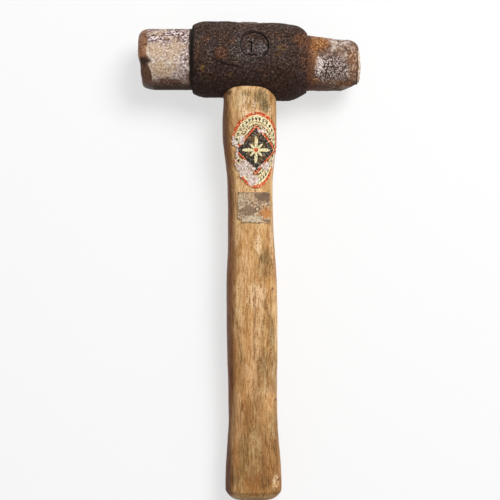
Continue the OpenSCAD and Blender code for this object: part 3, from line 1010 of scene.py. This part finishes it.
handleShape = {
    "cellRound": 0.42 * coarser,
    "cellAlong": 0.6 * coarser,
    "sway": 2.2,
    "sections": [  # distance from the barrel's axis, width, thickness, squareness
        (0, 27.8, 26.5, 3), (38, 27.8, 26.5, 3), (67, 23.1, 21, 2.3), (79, 23.1, 21, 2.3),
        (122.5, 26.8, 24, 2.3), (147.5, 26.8, 24, 2.3), (176, 25.7, 22.5, 2.3),
        (186, 25.7, 22.5, 2.3), (222, 29.7, 26, 2.3), (230, 29.7, 26, 2.3)],
    "straightTo": 38,
    "girth": 27 * math.pi,  # mm round the skin, which sets how many cells go round it
    "rowCounts": {"crown": 20, "tenon": 14, "seat": 8, "shoulder": 34, "round": 14, "butt": 20},
    "buttRound": 5,
    "buttPower": 1.5,  # 1 is a chamfer and 2 is a round edge
    "eyeW": 21.9,
    "eyeT": 17.9,
    "eyeFlare": 0.8,
    "seatGap": 0.12,
    "crownSink": 0.25,
    "grainHeight": 0.09,
    "dentHeight": 0.14,
    "pithAt": (0.043, 0, 0.031),  # metres from the tree's middle to the barrel's axis
    "ringScale": 105,
    "soilTones": [(0.42, 118, 120, 110), (0.49, 142, 146, 136), (0.56, 172, 177, 167)],
    "cracks": [[(2.6, -119), (2.9, -133), (2.0, -147), (2.4, -158)],
               [(-6.6, -137), (-5.6, -148), (-4.0, -158)]],
    "crackDepth": 0.28,
    "leftSwell": 0.7,  # how much fuller the left side is below the eye
    "chip": (13.6, -219.9, 1.9, 4.0),
    "held": [(-140, -158, 0.16), (-178, -212, 0.72)],  # darkened by the hand: from, to, share
    # dents: x, y, radius, depth; stains: x, y, half width, half length, strength
    "dents": [(6, -60, 1.2, 0.2), (-6, -140, 1.5, 0.25), (9, -171, 1.2, 0.3), (-9, -96, 1, 0.2),
              (-2, -206, 1.6, 0.25), (5, -126, 0.8, 0.3)],
    "soil": [(6.0, -20.5, 5.0, 4.4, 0.9), (7.9, -25.0, 3.4, 4.4, 1.0), (-1.5, -19, 3.5, 2.5, 0.6),
             (-2, -22, 11, 7, 0.25), (8.4, -107, 4.6, 9, 0.5), (8.2, -104, 2.8, 5, 0.75),
             (11.6, -143.7, 2.2, 9.5, 0.6), (8, -162, 5.5, 13, 0.45), (7, -160, 3, 7, 0.6),
             (0.5, -187, 4, 13, 0.38), (4, -178, 4, 9, 0.36), (-2, -208, 2, 8, 0.45),
             (5, -206, 2.2, 9, 0.4), (2.6, -196, 5, 12, 0.32), (-3, -203, 4, 10, 0.4),
             (0, -214, 11, 8, 0.34), (-8, -218.6, 3.4, 3.0, 0.4), (12.5, -163, 3, 14, 0.45),
             (12.5, -194, 3, 12, 0.4), (-4, -163, 2.4, 14, 0.25), (8, -219.6, 2.8, 4.6, 0.45),
             (-9, -75, 1.5, 8, 0.3), (5, -73, 4, 3, 0.3)],
    "pale": [(4.7, -97, 2.0, 6.5, 1.0), (4.5, -88, 1.4, 4, 0.6), (9, -33, 1.5, 5, 0.5),
             (-3, -112, 5, 12, 0.4), (5.5, -136, 2.6, 10, 0.6), (1, -163, 4, 8, 0.5),
             (8.5, -174, 3, 4.5, 0.7), (2.6, -25.5, 1.8, 4.5, 1.0), (3.2, -124, 5.5, 9, 0.8),
             (3.4, -146, 3, 16, 0.6), (-3, -24, 4, 7, 0.9), (2, -30, 8, 4, 0.95),
             (10.8, -28, 1.4, 4, 0.9), (-4.2, -135, 2.4, 24, 0.4), (2.5, -173, 4.5, 6, 0.6),
             (-6.5, -190, 1.8, 20, 0.4), (11.5, -95, 1.2, 12, 0.8), (12, -72, 1.0, 6, 0.6),
             (13.4, -219.9, 2.2, 4.4, 1.0)],
    "buttLine": -225.8,  # where a dark line goes round the butt
    "warm": [(1.8, -219, 4.8, 6, 0.9), (-4, -35, 7, 9, 0.5), (-3, -110, 5, 25, 0.35),
             (-1, -172, 9, 20, 0.5), (-3, -150, 6, 14, 0.4), (-6.5, -196, 2.6, 24, 0.8),
             (10.5, -172, 3, 9, 0.6), (1.5, -150, 1.2, 20, 0.5)],
    "red": [(12.0, -119.9, 0.6, 0.8, 1), (-3.6, -181.4, 0.5, 2.8, 0.9),
            (13.6, -177.8, 0.7, 0.9, 1), (13.3, -199, 0.7, 0.8, 1), (15.0, -219.1, 0.8, 0.9, 1)],
    "black": [(-10.6, -18.2, 1.7, 1.3, 0.8), (-12.3, -28, 0.7, 1.6, 0.5),
              (-12.5, -64, 0.6, 1, 0.6)],
}


def sectionAt(d):
    rows = handleShape["sections"]
    for a, b in zip(rows, rows[1:]):
        if d <= b[0]:
            break
    share = ease(a[0], b[0], d)
    return [mix(a[i], b[i], share) for i in (1, 2, 3)]


def handleSkin(d, angle, gap=0.0):
    # a point on the handle's skin at a distance from the barrel's axis, angle 90 facing up
    width, thick, power = sectionAt(d)
    length, edge = handleShape["length"], handleShape["buttRound"]
    past = clamp((d - (length - edge)) / edge)
    roundness = handleShape["buttPower"]
    inset = edge * (1 - (1 - past ** roundness) ** (1 / roundness))
    halfW, halfT = width / 2 - inset + gap, thick / 2 - inset + gap
    c, s = math.cos(angle), math.sin(angle)
    r = (abs(c / halfW) ** power + abs(s / halfT) ** power) ** (-1 / power)
    x = handleShape["sway"] * d / length + r * c
    x -= handleShape["leftSwell"] * ease(0.1, 0.8, -c) * ease(21, 34, d) * ease(105, 80, d)
    return Vector((x, -d, r * s))


def tenonArc():
    # radius of the tenon's round ends, and how far their middles lie from its own
    return handleShape["eyeT"] / 2, (handleShape["eyeW"] - handleShape["eyeT"]) / 2


def eyeReach(angle, grow):
    # distance from the eye's middle to its wall, for a wall set out by grow
    radius, offset = tenonArc()
    radius += grow
    c, s = abs(math.cos(angle)), abs(math.sin(angle))
    if c * radius <= offset * s:
        return radius / s
    return offset * c + math.sqrt(radius ** 2 - (offset * s) ** 2)


def onBarrel(x, z, radius, side):
    # height of the barrel's skin, leaned, above the handle (side 1) or below it (side -1)
    return side * math.sqrt(radius ** 2 - z ** 2) + droop(x)


def handleRows():
    # the rows of the skin from the tenon's crown to the middle of the butt: what each follows,
    # and how far along it is
    counts = handleShape["rowCounts"]
    length, edge = handleShape["length"], handleShape["buttRound"]
    straight = handleShape["straightTo"]

    def steps(kind, first, last):
        return [(kind, i / counts[kind]) for i in range(first, counts[kind] + last)]

    rows = steps("crown", 0, 1) + steps("tenon", 1, 0) + steps("seat", 0, 1)
    rows += steps("shoulder", 1, 1)
    count = round((length - edge - straight) / handleShape["cellAlong"])
    rows += [("skin", mix(straight, length - edge, i / count)) for i in range(1, count + 1)]
    turns = counts["round"]
    rows += [("skin", length - edge + edge * math.sin(math.pi / 2 * i / turns))
             for i in range(1, turns + 1)]
    return rows + steps("butt", 0, 0)[::-1]


def handlePoint(row, angle):
    kind, t = row
    barrelR = handleShape["barrelR"]
    c, s = math.cos(angle), math.sin(angle)
    if kind == "skin":
        return handleSkin(t, angle)
    if kind == "butt":
        rim = handleSkin(handleShape["length"], angle)
        middle = Vector((handleShape["sway"], rim.y, 0))
        return middle.lerp(rim, t)
    if kind == "crown":
        reach = t * eyeReach(angle, handleShape["eyeFlare"])
        x, z = reach * c, reach * s
        return Vector((x, onBarrel(x, z, barrelR - handleShape["crownSink"], 1), z))
    if kind == "tenon":
        reach = eyeReach(angle, handleShape["eyeFlare"] * max(0, 1 - 2 * t))
        x, z = reach * c, reach * s
        upper = onBarrel(x, z, barrelR - handleShape["crownSink"], 1)
        lower = onBarrel(x, z, barrelR + handleShape["seatGap"], -1)
        return Vector((x, mix(upper, lower, t), z))
    shoulder = handleSkin(0, angle)
    if kind == "seat":
        reach = eyeReach(angle, 0)
        x, z = mix(reach * c, shoulder.x, t), mix(reach * s, shoulder.z, t)
        return Vector((x, onBarrel(x, z, barrelR + handleShape["seatGap"], -1), z))
    start = -onBarrel(shoulder.x, shoulder.z, barrelR + handleShape["seatGap"], -1)
    return handleSkin(mix(start, handleShape["straightTo"], t), angle)


def cracked(p):
    # 1 in the split along the grain, which wanders and closes in places
    if p.z < 0 or not -159 < p.y < -118:
        return 0
    wander = 0.5 * noise.noise(Vector((0, p.y / 5, 3))) + 0.2 * noise.noise(Vector((4, p.y, 0)))
    away = min(offLine(p.x + wander, p.y, a, b)
               for crack in handleShape["cracks"] for a, b in zip(crack, crack[1:]))
    shut = ease(0.1, 0.5, noise.noise(Vector((7, p.y / 4, 1))))
    return (1 - ease(0.15, 0.75, away)) * (1 - 0.6 * shut)


def handleHeight(p):
    if p.y > -14:
        return 0.12 * (waves(p, 1.5) - 0.5) if p.y > 15 else 0
    height = handleShape["grainHeight"] * (waves(stretched(p, 0.8, 12), 1, 4) - 0.6)
    height += handleShape["dentHeight"] * (noise.noise(stretched(p, 5, 14)) - 0.5)
    if p.z > 0:
        height -= handleShape["crackDepth"] * cracked(p)
        height -= 0.7 * stain(p, handleShape["chip"], 0.2)
        for x, y, size, depth in handleShape["dents"]:
            away = math.hypot((p.x - x) / size, (p.y - y) / size / 1.8)
            height -= depth * (1 - ease(0.1, 1, away))
    return height


def woodMaterial(name, pale, dark, endDark):
    startMaterial(name, 0.25)
    # growth rings round a pith that lies outside the handle
    rings = wire("ShaderNodeMapping", {
        "Vector": building["place"], "Location": handleShape["pithAt"], "Scale": (1, 0.09, 1)})
    ring = wire("ShaderNodeTexWave", {
        "Vector": rings, "Scale": handleShape["ringScale"], "Distortion": 5.0, "Detail": 3,
        "Detail Scale": 0.9, "Detail Roughness": 0.6}, output=1, wave_type="RINGS",
        rings_direction="Y", wave_profile="SAW")
    fleck = speckle(0.5, 3, 0.75, stretch=(1, 0.15, 1))
    streak = speckle(1.2, 3, 0.6, stretch=(1, 0.05, 1))
    long = speckle(3.2, 2, 0.5, stretch=(1, 0.04, 1))
    broad = speckle(8, 4, 0.55, stretch=(1, 0.35, 1))
    fine = speckle(0.5, 4, 0.8)
    grain = plus(times(fleck, 0.62), times(fine, 0.38))
    clean = ramp(grain, [
        (0.405, mixTone(dark, 0.5)), (0.445, mixTone(dark, 0.78)), (0.48, dark), (0.53, pale),
        (0.585, tone(252, 222, 178))])
    warm = times(mask("warm"), between(fleck, 0.3, 0.6, 0.4, 0.9))
    lighter = times(mask("pale"), between(grain, 0.43, 0.55))
    # bright dry flecks where the wood is palest
    dry = times(between(mask("pale"), 0.7, 0.95), between(fine, 0.52, 0.6, 0, 0.75))
    colour = over(
        clean,
        (between(long, 0.46, 0.58, 0, 0.4), tone(214, 192, 158), "MULTIPLY"),
        (between(long, 0.46, 0.36, 0, 0.3), tone(246, 206, 150)),
        (between(streak, 0.51, 0.62, 0, 0.25), mixTone(dark, 0.6)),
        (between(ring, 0.65, 0.95, 0, 0.22), mixTone(dark, 0.5)),
        (between(streak, 0.46, 0.36, 0, 0.3), tone(234, 190, 134)),
        (between(broad, 0.44, 0.58), tone(224, 212, 194), "MULTIPLY"),
        (warm, tone(202, 138, 78)),
        (times(lighter, 0.7), tone(248, 212, 164)),
        (dry, tone(255, 238, 212)),
        (mask("soil"), toneRamp(grain, handleShape["soilTones"]), "MULTIPLY"),
        (mask("handled"), tone(192, 174, 144), "MULTIPLY"),
        # painted shade on the left side
        (mask("side"), tone(152, 120, 90), "MULTIPLY"),
        (mask("red"), tone(122, 62, 40)),
        (mask("black"), tone(60, 42, 30)),
        (mask("end"), endDark))
    return finishMaterial(colour, between(streak, 0.3, 0.7, 0.45, 0.7), (fleck, 0.14))


def buildHandle():
    rows = handleRows()
    columns = round(handleShape["girth"] / handleShape["cellRound"])
    bm = bmesh.new()
    bmesh.ops.create_grid(bm, x_segments=columns, y_segments=len(rows) - 1, size=0.5)
    skin = bm.verts.layers.float.new("skin")
    for v in bm.verts:
        row = rows[round((v.co.y + 0.5) * (len(rows) - 1))]
        v[skin] = row[0] not in ("tenon", "seat")
        v.co = handlePoint(row, (v.co.x + 0.5) * 2 * math.pi)
    bmesh.ops.remove_doubles(bm, verts=bm.verts, dist=0.003)
    bmesh.ops.recalc_face_normals(bm, faces=bm.faces)
    shapeSkin(bm, handleHeight)
    wide, kerf, thick = wedges["cutWide"], wedges["kerf"], wedges["woodT"] + wedges["gap"]
    bm = cutAway(bm, [wedgeBlock(0, wide, kerf, wedges["kerfDepth"]),
                      wedgeBlock(0, wide, thick, wedges["woodLen"], tipZ=kerf),
                      *[steelBlock(side, wedges["gap"]) for side in (-1, 1)]])
    places = handleShape

    def side(p):
        # painted shade on the handle's left side, which is turned from the light
        edge = -5.2 - 3 * ease(-70, -40, p.y) - 1.5 * ease(-160, -200, p.y)
        return ease(edge, edge - 4.8, p.x + 0.8 * waves(stretched(p, 2, 20), 1))

    def buttLine(p):
        # a dark line where the butt starts to turn in
        away = abs(p.y - places["buttLine"] + 0.7 * noise.noise(p / 3))
        return 0.25 * (1 - ease(0.2, 0.9, away))

    def handled(p):
        # dark where the hand holds, most of all along the middle of the grip
        along = p.y + 9 * waves(stretched(p, 4, 20), 1)
        amount = sum(share * ease(start, full, along) for start, full, share in places["held"])
        if p.z > 0:
            amount *= 1 - 0.45 * ease(4, 1, abs(p.x + 7.5)) - 0.15 * ease(5, 9, p.x)
            amount *= 1 - 0.9 * stain(p, places["chip"], 0.2)
        return amount

    def endGrain(p):
        crown = ease(10, 16, p.y) * (0.95 + 0.15 * noise.noise(p / 1.5))
        return max(crown, ease(-228.6, -229.7, p.y) * (0.4 + 0.2 * waves(p, 3)))

    paint(bm, {
        "handled": handled,
        "warm": lambda p: max(stains(p, places["warm"]), cracked(p)),
        "pale": lambda p: max(stains(p, places["pale"]), ease(-226.4, -227.2, p.y),
                              0.5 * ease(0.2, 0.7, waves(stretched(p, 6, 25), 1))),
        "soil": lambda p: max(stains(p, places["soil"]),
                              0.3 * ease(0.2, 0.7, waves(stretched(p, 5, 24), 1))),
        "side": side,
        "red": lambda p: stains(p, places["red"]),
        "black": lambda p: max(stains(p, places["black"]), 0.42 * cracked(p), buttLine(p)),
        "end": endGrain,
    })
    addToHammer("ashHandle", bm, "handle", woodMaterial(
        "wornAsh", tone(250, 205, 144), tone(228, 180, 122), tone(66, 50, 38)))


# Wedges: one of wood along the eye, and two of steel driven across it

wedges = {
    "gap": 0.12,  # room round a wedge in its slot
    "cutWide": 50,  # wider than the tenon, for the cuts along the eye
    "kerf": 1.2,
    "kerfDepth": 32,
    "woodT": 4,
    "woodLen": 27,
    "steelW": 12,
    "steelT": 2.6,
    "steelTip": 0.8,
    "steelLen": 16,
    "steelSink": 0.7,
    "pitch": 11,
    "overTop": 1,  # how far a wedge's block stands over the barrel before it is dressed
}


def wedgeBlock(middleX, acrossX, acrossZ, length, tipX=None, tipZ=None):
    # a wedge that points down the handle, with its head above the barrel's skin
    barrelR = handleShape["barrelR"]
    bm = bmesh.new()
    bmesh.ops.create_cube(bm, size=1)
    for v in bm.verts:
        atHead = v.co.y > 0
        wide = acrossX if atHead or tipX is None else tipX
        thick = acrossZ if atHead or tipZ is None else tipZ
        y = barrelR + wedges["overTop"] if atHead else barrelR - length
        v.co = Vector((middleX + v.co.x * wide, y, v.co.z * thick))
    return bm


def steelBlock(side, gap=0):
    # a steel wedge left (-1) or right (1) of the eye's middle, or with a gap its slot
    return wedgeBlock(side * wedges["pitch"] / 2, wedges["steelT"] + gap, wedges["steelW"] + gap,
                      wedges["steelLen"], tipX=wedges["steelTip"] + gap)


def dressedHead(bm, length, sink):
    # draws the wedge's head down to the barrel's round skin
    barrelR = handleShape["barrelR"]
    tip = barrelR - length
    for v in bm.verts:
        share = (v.co.y - tip) / (length + wedges["overTop"])
        v.co.y = mix(tip, onBarrel(v.co.x, v.co.z, barrelR - sink, 1), share)


def steelMaterial():
    startMaterial("rustySteel", 0.5)
    fine = speckle(0.4, 4, 0.7)
    rust = between(speckle(1.6, 4), 0.48, 0.6)
    colour = over(tone(84, 74, 68),
                  (between(fine, 0.35, 0.65), tone(150, 138, 128)),
                  (rust, tone(124, 74, 44)))
    return finishMaterial(colour, between(fine, 0.3, 0.7, 0.45, 0.8), (fine, 0.15),
                          metal=between(rust, 0, 1, 0.6, 0))


def buildWedges():
    steel = steelMaterial()
    for side, name, node in ((-1, "steelWedgeLeft", "steel_wedge_left"),
                             (1, "steelWedgeRight", "steel_wedge_right")):
        bm = steelBlock(side)
        bmesh.ops.subdivide_edges(bm, edges=bm.edges, cuts=15, use_grid_fill=True)
        dressedHead(bm, wedges["steelLen"], wedges["steelSink"])
        bm.normal_update()
        for v in bm.verts:
            v.co += v.normal * 0.12 * (waves(v.co, 1.2) - 0.5)
        addToHammer(name, bm, node, steel)

    bm = wedgeBlock(0, 1, wedges["woodT"], wedges["woodLen"], tipZ=wedges["kerf"])
    bmesh.ops.subdivide_edges(bm, edges=bm.edges, cuts=23, use_grid_fill=True)
    radius, offset = tenonArc()
    for v in bm.verts:
        grow = handleShape["eyeFlare"] * clamp(v.co.y / handleShape["barrelR"])
        v.co.x *= 2 * (offset + math.sqrt((radius + grow) ** 2 - v.co.z ** 2))
    dressedHead(bm, wedges["woodLen"], handleShape["crownSink"])
    bm = cutAway(bm, [steelBlock(side, wedges["gap"]) for side in (-1, 1)])
    unused = ("handled", "warm", "pale", "soil", "side", "red", "black")
    paint(bm, {name: lambda p: 0 for name in unused})
    paint(bm, {"end": lambda p: 0.7 * ease(10, 16, p.y)})
    addToHammer("woodWedge", bm, "wooden_wedge", woodMaterial(
        "wedgeWood", tone(150, 106, 66), tone(124, 84, 52), tone(104, 78, 54)))


handleShape["length"] = -boxInMm("handle")[0].y
handleShape["barrelR"] = boxInMm("head_casting")[1].z
buildHandle()
buildWedges()


# Paper labels: a worn oval with a plain printed pattern, and a bare slip below it

labels = {
    "cell": 0.25 * coarser,
    "over": 0.3,  # how far the paper's face stands over the wood
    "paper": 0.14,
    "curl": 0.45,  # how far the paper lifts at its edges and where it is torn
    "wrinkle": 0.07,
    "least": 0.2,  # how near the wood the paper's face may come
    "printSpan": 50,  # mm that the whole print's map covers
    "ovalAt": 48.1,
    "ovalSize": (23.4, 39.2),
    "ovalTurn": 13,
    "slipAt": 77.7,
    "slipSize": (16.8, 15.8),
    "slipTurn": 11.5,
    # places on a sheet, in mm to the right and down from its middle: s, t, half sizes, strength
    "ovalLost": [(-12.9, 1.5, 3.4, 9.0), (-12.4, 11.5, 4.2, 2.6), (-6.3, -17.6, 1.0, 2.4),
                 (12.6, 9.5, 1.0, 1.6), (-10, -15, 1.2, 1.5)],
    "ovalScraped": [(-6.5, 9.5, 6.0, 4.6, 1.0), (-1.5, 15.5, 4.0, 3.0, 1.0),
                    (5.5, 8.5, 3.4, 2.2, 0.8), (-10, -1, 1.5, 7.5, 0.9), (-7, -5, 1.5, 3, 0.6),
                    (2.5, -9.8, 2.2, 1.0, 0.8), (11.3, 6, 1.6, 5, 0.6),
                    (-1, -15, 4, 1.4, 0.35)],
    "slipLost": [(-10.2, 8.8, 4.8, 3.8), (9.8, -8.6, 1.4, 1.4)],
    "slipDark": [(4.5, -5.5, 5.0, 3.0, 0.9), (-3.6, 1.4, 4.0, 3.0, 0.7), (6.5, 6.9, 3.0, 0.7, 0.8),
                 (-8.9, 2, 0.8, 5, 0.6)],
    "slipPale": [(-1.5, 6.0, 5.0, 1.8, 0.9), (-7, -3.5, 3.0, 3.5, 0.5), (9.1, -2, 0.45, 5.0, 0.9)],
    "slipOrange": [(5.8, 2.6, 3.6, 3.8, 1.0)],
    "slipRing": (1.2, 0.9, 1.1),  # middle and radius of a small stained ring
    "slipTones": {"orange": (204, 134, 64), "dark": (94, 72, 56), "light": (216, 198, 168),
                  "ring": (66, 50, 38)},
}

ovalPrint = {  # places on it count 0 in the middle and 1 at the edge, if nothing else is said
    "cream": (255, 240, 186),
    "orange": (226, 84, 26),
    "black": (20, 19, 22),
    "rays": 28,
    "raysTo": 0.74,
    "diamonds": 36,
    "diamondsAt": 0.82,
    "bars": 54,
    "barsAt": (0.62, 0.68),
    "lineAt": (0.735, 0.75),
    "borderFrom": (0.905, 0.925),
    "lozenge": (9.4, 11.5),  # mm from its middle to its corners
    "lozengeRims": (1.2, 1.13, 1.0),
    "starMiddle": 1.3,  # mm
    "starRays": [(4, 1.6, 3), (2, 9, 2.6)],  # how often in half a turn, sharpness, mm
}


def onPaper(place, s, t, ragged=0.4):
    # 1 inside a torn or stained place of a label and 0 outside it
    x, y, halfX, halfY = place[:4]
    away = math.hypot((s - x) / halfX, (t - y) / halfY)
    away += ragged * waves(Vector((s, t, x)), 0.5 * min(halfX, halfY) + 0.5, 4)
    return 1 - ease(0.7, 1.1, away)


def paperSheet(at, size, turn, roundness, lost, masks):
    # a sheet of paper laid on the handle, with its torn places cut out and its edges lifted
    width, length = size
    bm = bmesh.new()
    bmesh.ops.create_grid(bm, x_segments=round(width / labels["cell"]),
                          y_segments=round(length / labels["cell"]), size=1)
    layers = {name: bm.verts.layers.float.new(name) for name in masks}
    meanR = sum(sectionAt(at)[:2]) / 4
    local = {}
    for v in bm.verts:
        u, w = v.co.x, v.co.y
        s = u * math.sqrt(1 - roundness * w * w / 2) * width / 2
        t = w * math.sqrt(1 - roundness * u * u / 2) * length / 2
        local[v] = (s, t)
    torn = {v: max(onPaper(place, *local[v]) for place in lost) for v in bm.verts}
    for v in bm.verts:
        s, t = local[v]
        edge = max(abs(v.co.x), abs(v.co.y))
        curl = max(ease(0.1, 0.5, torn[v]), ease(0.93, 1, edge))
        curl *= 0.5 + noise.noise(Vector((s / 2.5, t / 2.5, at)))
        lift = labels["over"] + labels["curl"] * clamp(curl)
        lift += labels["wrinkle"] * waves(Vector((s, t, 3)), 1.6, 4)
        for name, value in masks.items():
            v[layers[name]] = clamp(value(s, t))
        angle = math.radians(90 - turn) - s / meanR
        v.co = handleSkin(at + t, angle, max(lift, labels["least"]))
    prints, span = bm.loops.layers.uv.new("print"), labels["printSpan"]
    for face in bm.faces:
        for loop in face.loops:
            s, t = local[loop.vert]
            loop[prints].uv = (0.5 + s / span, 0.5 + t / span)
    gone = [f for f in bm.faces if all(torn[v] > 0.5 for v in f.verts)]
    bmesh.ops.delete(bm, geom=gone, context="FACES")
    bmesh.ops.recalc_face_normals(bm, faces=bm.faces)
    if bm.faces[:][0].normal.dot(bm.faces[:][0].calc_center_median()) < 0:
        bmesh.ops.reverse_faces(bm, faces=bm.faces)
    bmesh.ops.solidify(bm, geom=bm.faces[:], thickness=labels["paper"])
    return bm


def printPlace():
    # place on the print in mm to the right and down from its middle
    span = labels["printSpan"]
    middle = wire("ShaderNodeMapping", {
        "Vector": wire("ShaderNodeUVMap", {}, uv_map="print"),
        "Location": (-span / 2, -span / 2, 0), "Scale": (span, span, 1)})
    parts = wire("ShaderNodeSeparateXYZ", {0: middle}).node
    return middle, parts.outputs[0], parts.outputs[1]


def inside(value, limit, soft=0.02):
    # 1 where a value is below its limit
    return between(value, limit - soft, limit + soft, 1, 0)


def band(value, low, high, soft=0.02):
    # 1 where a value lies between two limits
    return times(inside(value, high, soft), between(value, low - soft, low + soft))


def printedOval():
    # the clean print, and how far out a place is by the measure of the lozenge
    middle, s, t = printPlace()
    halfW, halfL = (v / 2 for v in labels["ovalSize"])
    across, down = maths("DIVIDE", s, halfW), maths("DIVIDE", t, halfL)
    away = maths("SQRT", plus(times(across, across), times(down, down)))
    angle = maths("ARCTAN2", down, across)

    def parts(count):
        # 0 to 0.5 and back, so many times on the way round the oval
        return maths("PINGPONG", times(angle, count / math.pi / 2), 0.5)

    rays = maths("COSINE", times(angle, ovalPrint["rays"]))
    fan = times(between(rays, 0.35, 0.5), inside(away, ovalPrint["raysTo"]))
    out = maths("ABSOLUTE", minus(away, ovalPrint["diamondsAt"]))
    diamond = plus(times(parts(ovalPrint["diamonds"]), 2.5), times(out, 15))
    bars = times(inside(parts(ovalPrint["bars"]), 0.27, 0.05),
                 band(away, *ovalPrint["barsAt"], 0.006))
    toCornerS, toCornerT = ovalPrint["lozenge"]
    lozenge = plus(maths("DIVIDE", maths("ABSOLUTE", s), toCornerS),
                   maths("DIVIDE", maths("ABSOLUTE", t), toCornerT))
    # a star of eight rays, four long and four short
    radius = wire("ShaderNodeVectorMath", {0: middle}, output=1, operation="LENGTH")
    turn = maths("ARCTAN2", t, s)
    reach = ovalPrint["starMiddle"]
    for count, sharpness, longer in ovalPrint["starRays"]:
        wave = maths("ABSOLUTE", maths("COSINE", times(turn, count)))
        reach = plus(reach, times(maths("POWER", wave, sharpness), longer))

    cream, orange, black = (tone(*ovalPrint[name]) for name in ("cream", "orange", "black"))
    outer, rim, inner = ovalPrint["lozengeRims"]
    ink = over(
        cream,
        (times(fan, 0.55), tone(214, 128, 66)),
        (inside(diamond, 0.9, 0.1), black),
        (bars, black),
        (band(away, *ovalPrint["lineAt"], 0.006), black),
        (between(away, *ovalPrint["borderFrom"]), orange),
        (inside(lozenge, outer), black),
        (inside(lozenge, rim), orange),
        (inside(lozenge, inner), black),
        (inside(minus(radius, reach), 0, 0.12), cream),
        (inside(radius, 1.1, 0.1), orange))
    return ink, lozenge


def ovalMaterial():
    # the print with its grime, flaked ink and scraped paper, and fewer pale flecks on the lozenge
    startMaterial("wornPrint", 0.2)
    ink, lozenge = printedOval()
    fine = speckle(0.48, 3, 0.75)
    blot = speckle(2.2, 4, 0.65)
    flecks = times(between(fine, 0.55, 0.61, 0, 0.8), between(lozenge, 0.98, 1.02, 0.4, 1))
    scraped = over(
        tone(224, 200, 186),
        (between(blot, 0.4, 0.6), tone(186, 156, 136)),
        (between(fine, 0.5, 0.57), tone(250, 240, 232)),
        (between(fine, 0.43, 0.37), tone(136, 98, 78)))
    bare = minus(mask("scraped"), times(fine, 0.6))
    ink = over(
        ink,
        (between(blot, 0.5, 0.62, 0, 0.28), tone(180, 138, 74)),
        (between(fine, 0.47, 0.4, 0, 0.9), tone(80, 46, 24)),
        (flecks, tone(255, 242, 204)),
        (between(bare, 0.1, 0.2), scraped))
    return finishMaterial(ink, between(fine, 0.3, 0.7, 0.45, 0.75), (fine, 0.05))


def slipMaterial():
    startMaterial("stainedSlip", 0.3)
    fine = speckle(0.7, 4, 0.75)
    blot = speckle(2.0, 4, 0.65)
    colour = over(
        tone(190, 158, 120),
        (between(blot, 0.4, 0.6), tone(142, 111, 82)),
        (between(fine, 0.5, 0.61, 0, 0.9), tone(228, 206, 176)),
        (between(fine, 0.47, 0.38, 0, 0.9), tone(84, 60, 42)))
    for name, stainTone in labels["slipTones"].items():
        share = times(mask(name), between(fine, 0.4, 0.56, 0.4, 1))
        colour = colours(share, colour, tone(*stainTone))
    return finishMaterial(colour, between(fine, 0.3, 0.7, 0.5, 0.8), (fine, 0.06))


def buildLabels():
    def amount(places):
        return lambda s, t: max(p[4] * onPaper(p, s, t) for p in places)

    oval = paperSheet(labels["ovalAt"], labels["ovalSize"], labels["ovalTurn"], 1,
                      labels["ovalLost"], {"scraped": amount(labels["ovalScraped"])})
    addToHammer("ovalLabel", oval, "oval_label", ovalMaterial())

    ringX, ringY, ringR = labels["slipRing"]

    def ring(s, t):
        return 1 - ease(0.15, 0.4, abs(math.hypot(s - ringX, t - ringY) - ringR))

    stained = {"orange": amount(labels["slipOrange"]), "dark": amount(labels["slipDark"]),
               "light": amount(labels["slipPale"]), "ring": ring}
    slip = paperSheet(labels["slipAt"], labels["slipSize"], labels["slipTurn"], 0,
                      labels["slipLost"], stained)
    addToHammer("paperSlip", slip, "paper_slip", slipMaterial())


buildLabels()
